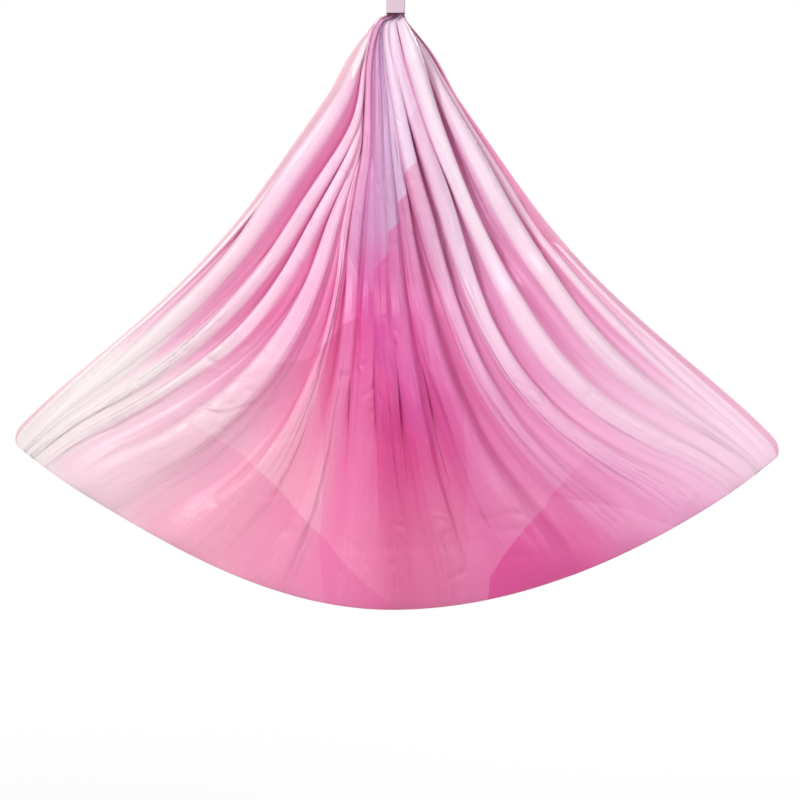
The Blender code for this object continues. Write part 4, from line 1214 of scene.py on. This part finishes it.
def seal_rubber():
    """Matt black rubber."""
    s = Surface("seal_rubber", 0.7)
    grain = s.noise(s.place("Object"), 900.0, 3.0, 0.6)
    s.set("Base Color", s.blend(grain, (0.020, 0.020, 0.022), (0.050, 0.050, 0.054)))
    s.set("Roughness", s.step(grain, 0.3, 0.7, 0.58, 0.80))
    s.bump(grain, 0.00008, 0.7)
    return s.material


def finish_hardware():
    """Gives each carried-over CAD node the finish of its material slot, and returns the finishes."""
    finishes = {name: worked_metal(name, *values) for name, values in METALS.items()}
    finishes["seal_rubber"] = seal_rubber()
    for piece in list(bpy.context.scene.objects):
        for slot in piece.material_slots:
            name = slot.material.name.split(".")[0] if slot.material else ""
            if name in finishes:
                slot.material = finishes[name]
    return finishes


def add_floor():
    """A pale floor far below, which the camera sees as white but for a trace of the object's shadow."""
    edge = FLOOR_HALF_WIDTH
    corners = [(-edge, -edge), (edge, -edge), (edge, edge), (-edge, edge)]
    floor = mesh_piece("floor", [(x, y, FLOOR_HEIGHT) for x, y in corners], [(0, 1, 2, 3)])
    s = Surface("floor_white", 0.9)
    s.set("Base Color", (0.82, 0.82, 0.82))
    glow = s.add("Emission", (("Color", (1, 1, 1)),))[0]
    off_centre = s.add("VectorMath", ((0, s.place("Object", (1.0, 1.0, 0.0))),), operation="LENGTH")["Value"]
    far = s.step(off_centre, 2.0, 7.0, 0.90, 1.0)
    s.end("Material Output", s.times(s.seen_directly(), far), s.shader.outputs[0], glow)
    floor.data.materials.append(s.material)


def add_world():
    """Even light from all round. The camera sees it as white."""
    world = bpy.data.worlds.new("studio")
    bpy.context.scene.world = world
    world.use_nodes = True
    s = NodeTree(world.node_tree)
    light = s.nodes["Background"]
    s.feed(light.inputs["Color"], (1, 1, 1))
    s.feed(light.inputs["Strength"], WORLD_LIGHT)
    white = s.add("Background", (("Color", (1, 1, 1)), ("Strength", 1.0)))[0]
    s.end("World Output", s.seen_directly(), light.outputs[0], white)


def add_lamps():
    """Square lamps, each turned to a height on the middle line."""
    for name, place, height, size, power in LAMPS:
        data = bpy.data.lights.new(name, "AREA")
        data.shape = "RECTANGLE"
        data.size = data.size_y = size
        data.energy = power
        lamp = add_piece(name, data)
        lamp.location = place
        lamp.rotation_euler = (Vector((0, 0, height)) - lamp.location).to_track_quat("-Z", "Y").to_euler()


def add_camera():
    """Straight on from the front with a long lens."""
    data = bpy.data.cameras.new("camera")
    data.sensor_width = SENSOR_WIDTH
    data.lens = SENSOR_WIDTH * CAMERA_DISTANCE / PICTURE_WIDTH
    camera = add_piece("camera", data)
    camera.location = (PICTURE_CENTRE[0], -CAMERA_DISTANCE, PICTURE_CENTRE[1])
    camera.rotation_euler = (math.radians(90), 0, 0)
    bpy.context.scene.camera = camera


bpy.context.scene.view_settings.view_transform = "Standard"
add_camera()
add_world()
add_floor()
add_lamps()

finishes = finish_hardware()
for which, (pivot, lean) in GATE_AXES.items():
    spring, (still, pressed) = make_spring(which + "_gate_coil", pivot, lean)
    spring.data.materials.append(finishes["bearing_steel"])
    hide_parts(which + "_gate_spring")
    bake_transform(spring)

for node, body, level in ROUNDED:
    piece = rounded_copy(node + "_forging", node, level)
    piece.data.materials.append(finishes["satin_steel"])
    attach(piece, body)
    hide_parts(node)

for piece, node, body in make_swivel():
    piece.data.materials.append(finishes["swivel_aluminium"])
    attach(piece, body)
    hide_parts(node)

webbing = woven_webbing("strap_webbing", STRAP_COLOUR, STRAP_YARN)
cuff_webbing = woven_webbing("cuff_webbing", CUFF_COLOUR, CUFF_YARN)
thread = sewing_thread()
for side, end in ((-1, "front"), (1, "back")):
    loop = make_loop(side, end + "_loop_webbing")
    loop.data.materials.append(webbing)
    cuff = make_cuff(side, end + "_cuff_webbing")
    cuff.data.materials.append(cuff_webbing)
    stitches = make_stitches(side, end + "_cuff_stitches")
    stitches.data.materials.append(thread)
    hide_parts(end + "_loop")
    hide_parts(end + "_cuff")
    for piece, slot in ((loop, "strap_webbing"), (cuff, "cuff_webbing"), (stitches, "cuff_webbing")):
        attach(piece, "hammock")

cloth = make_cloth()
cloth.data.materials.append(printed_nylon())
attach(cloth, "hammock")
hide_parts("hammock_cloth")
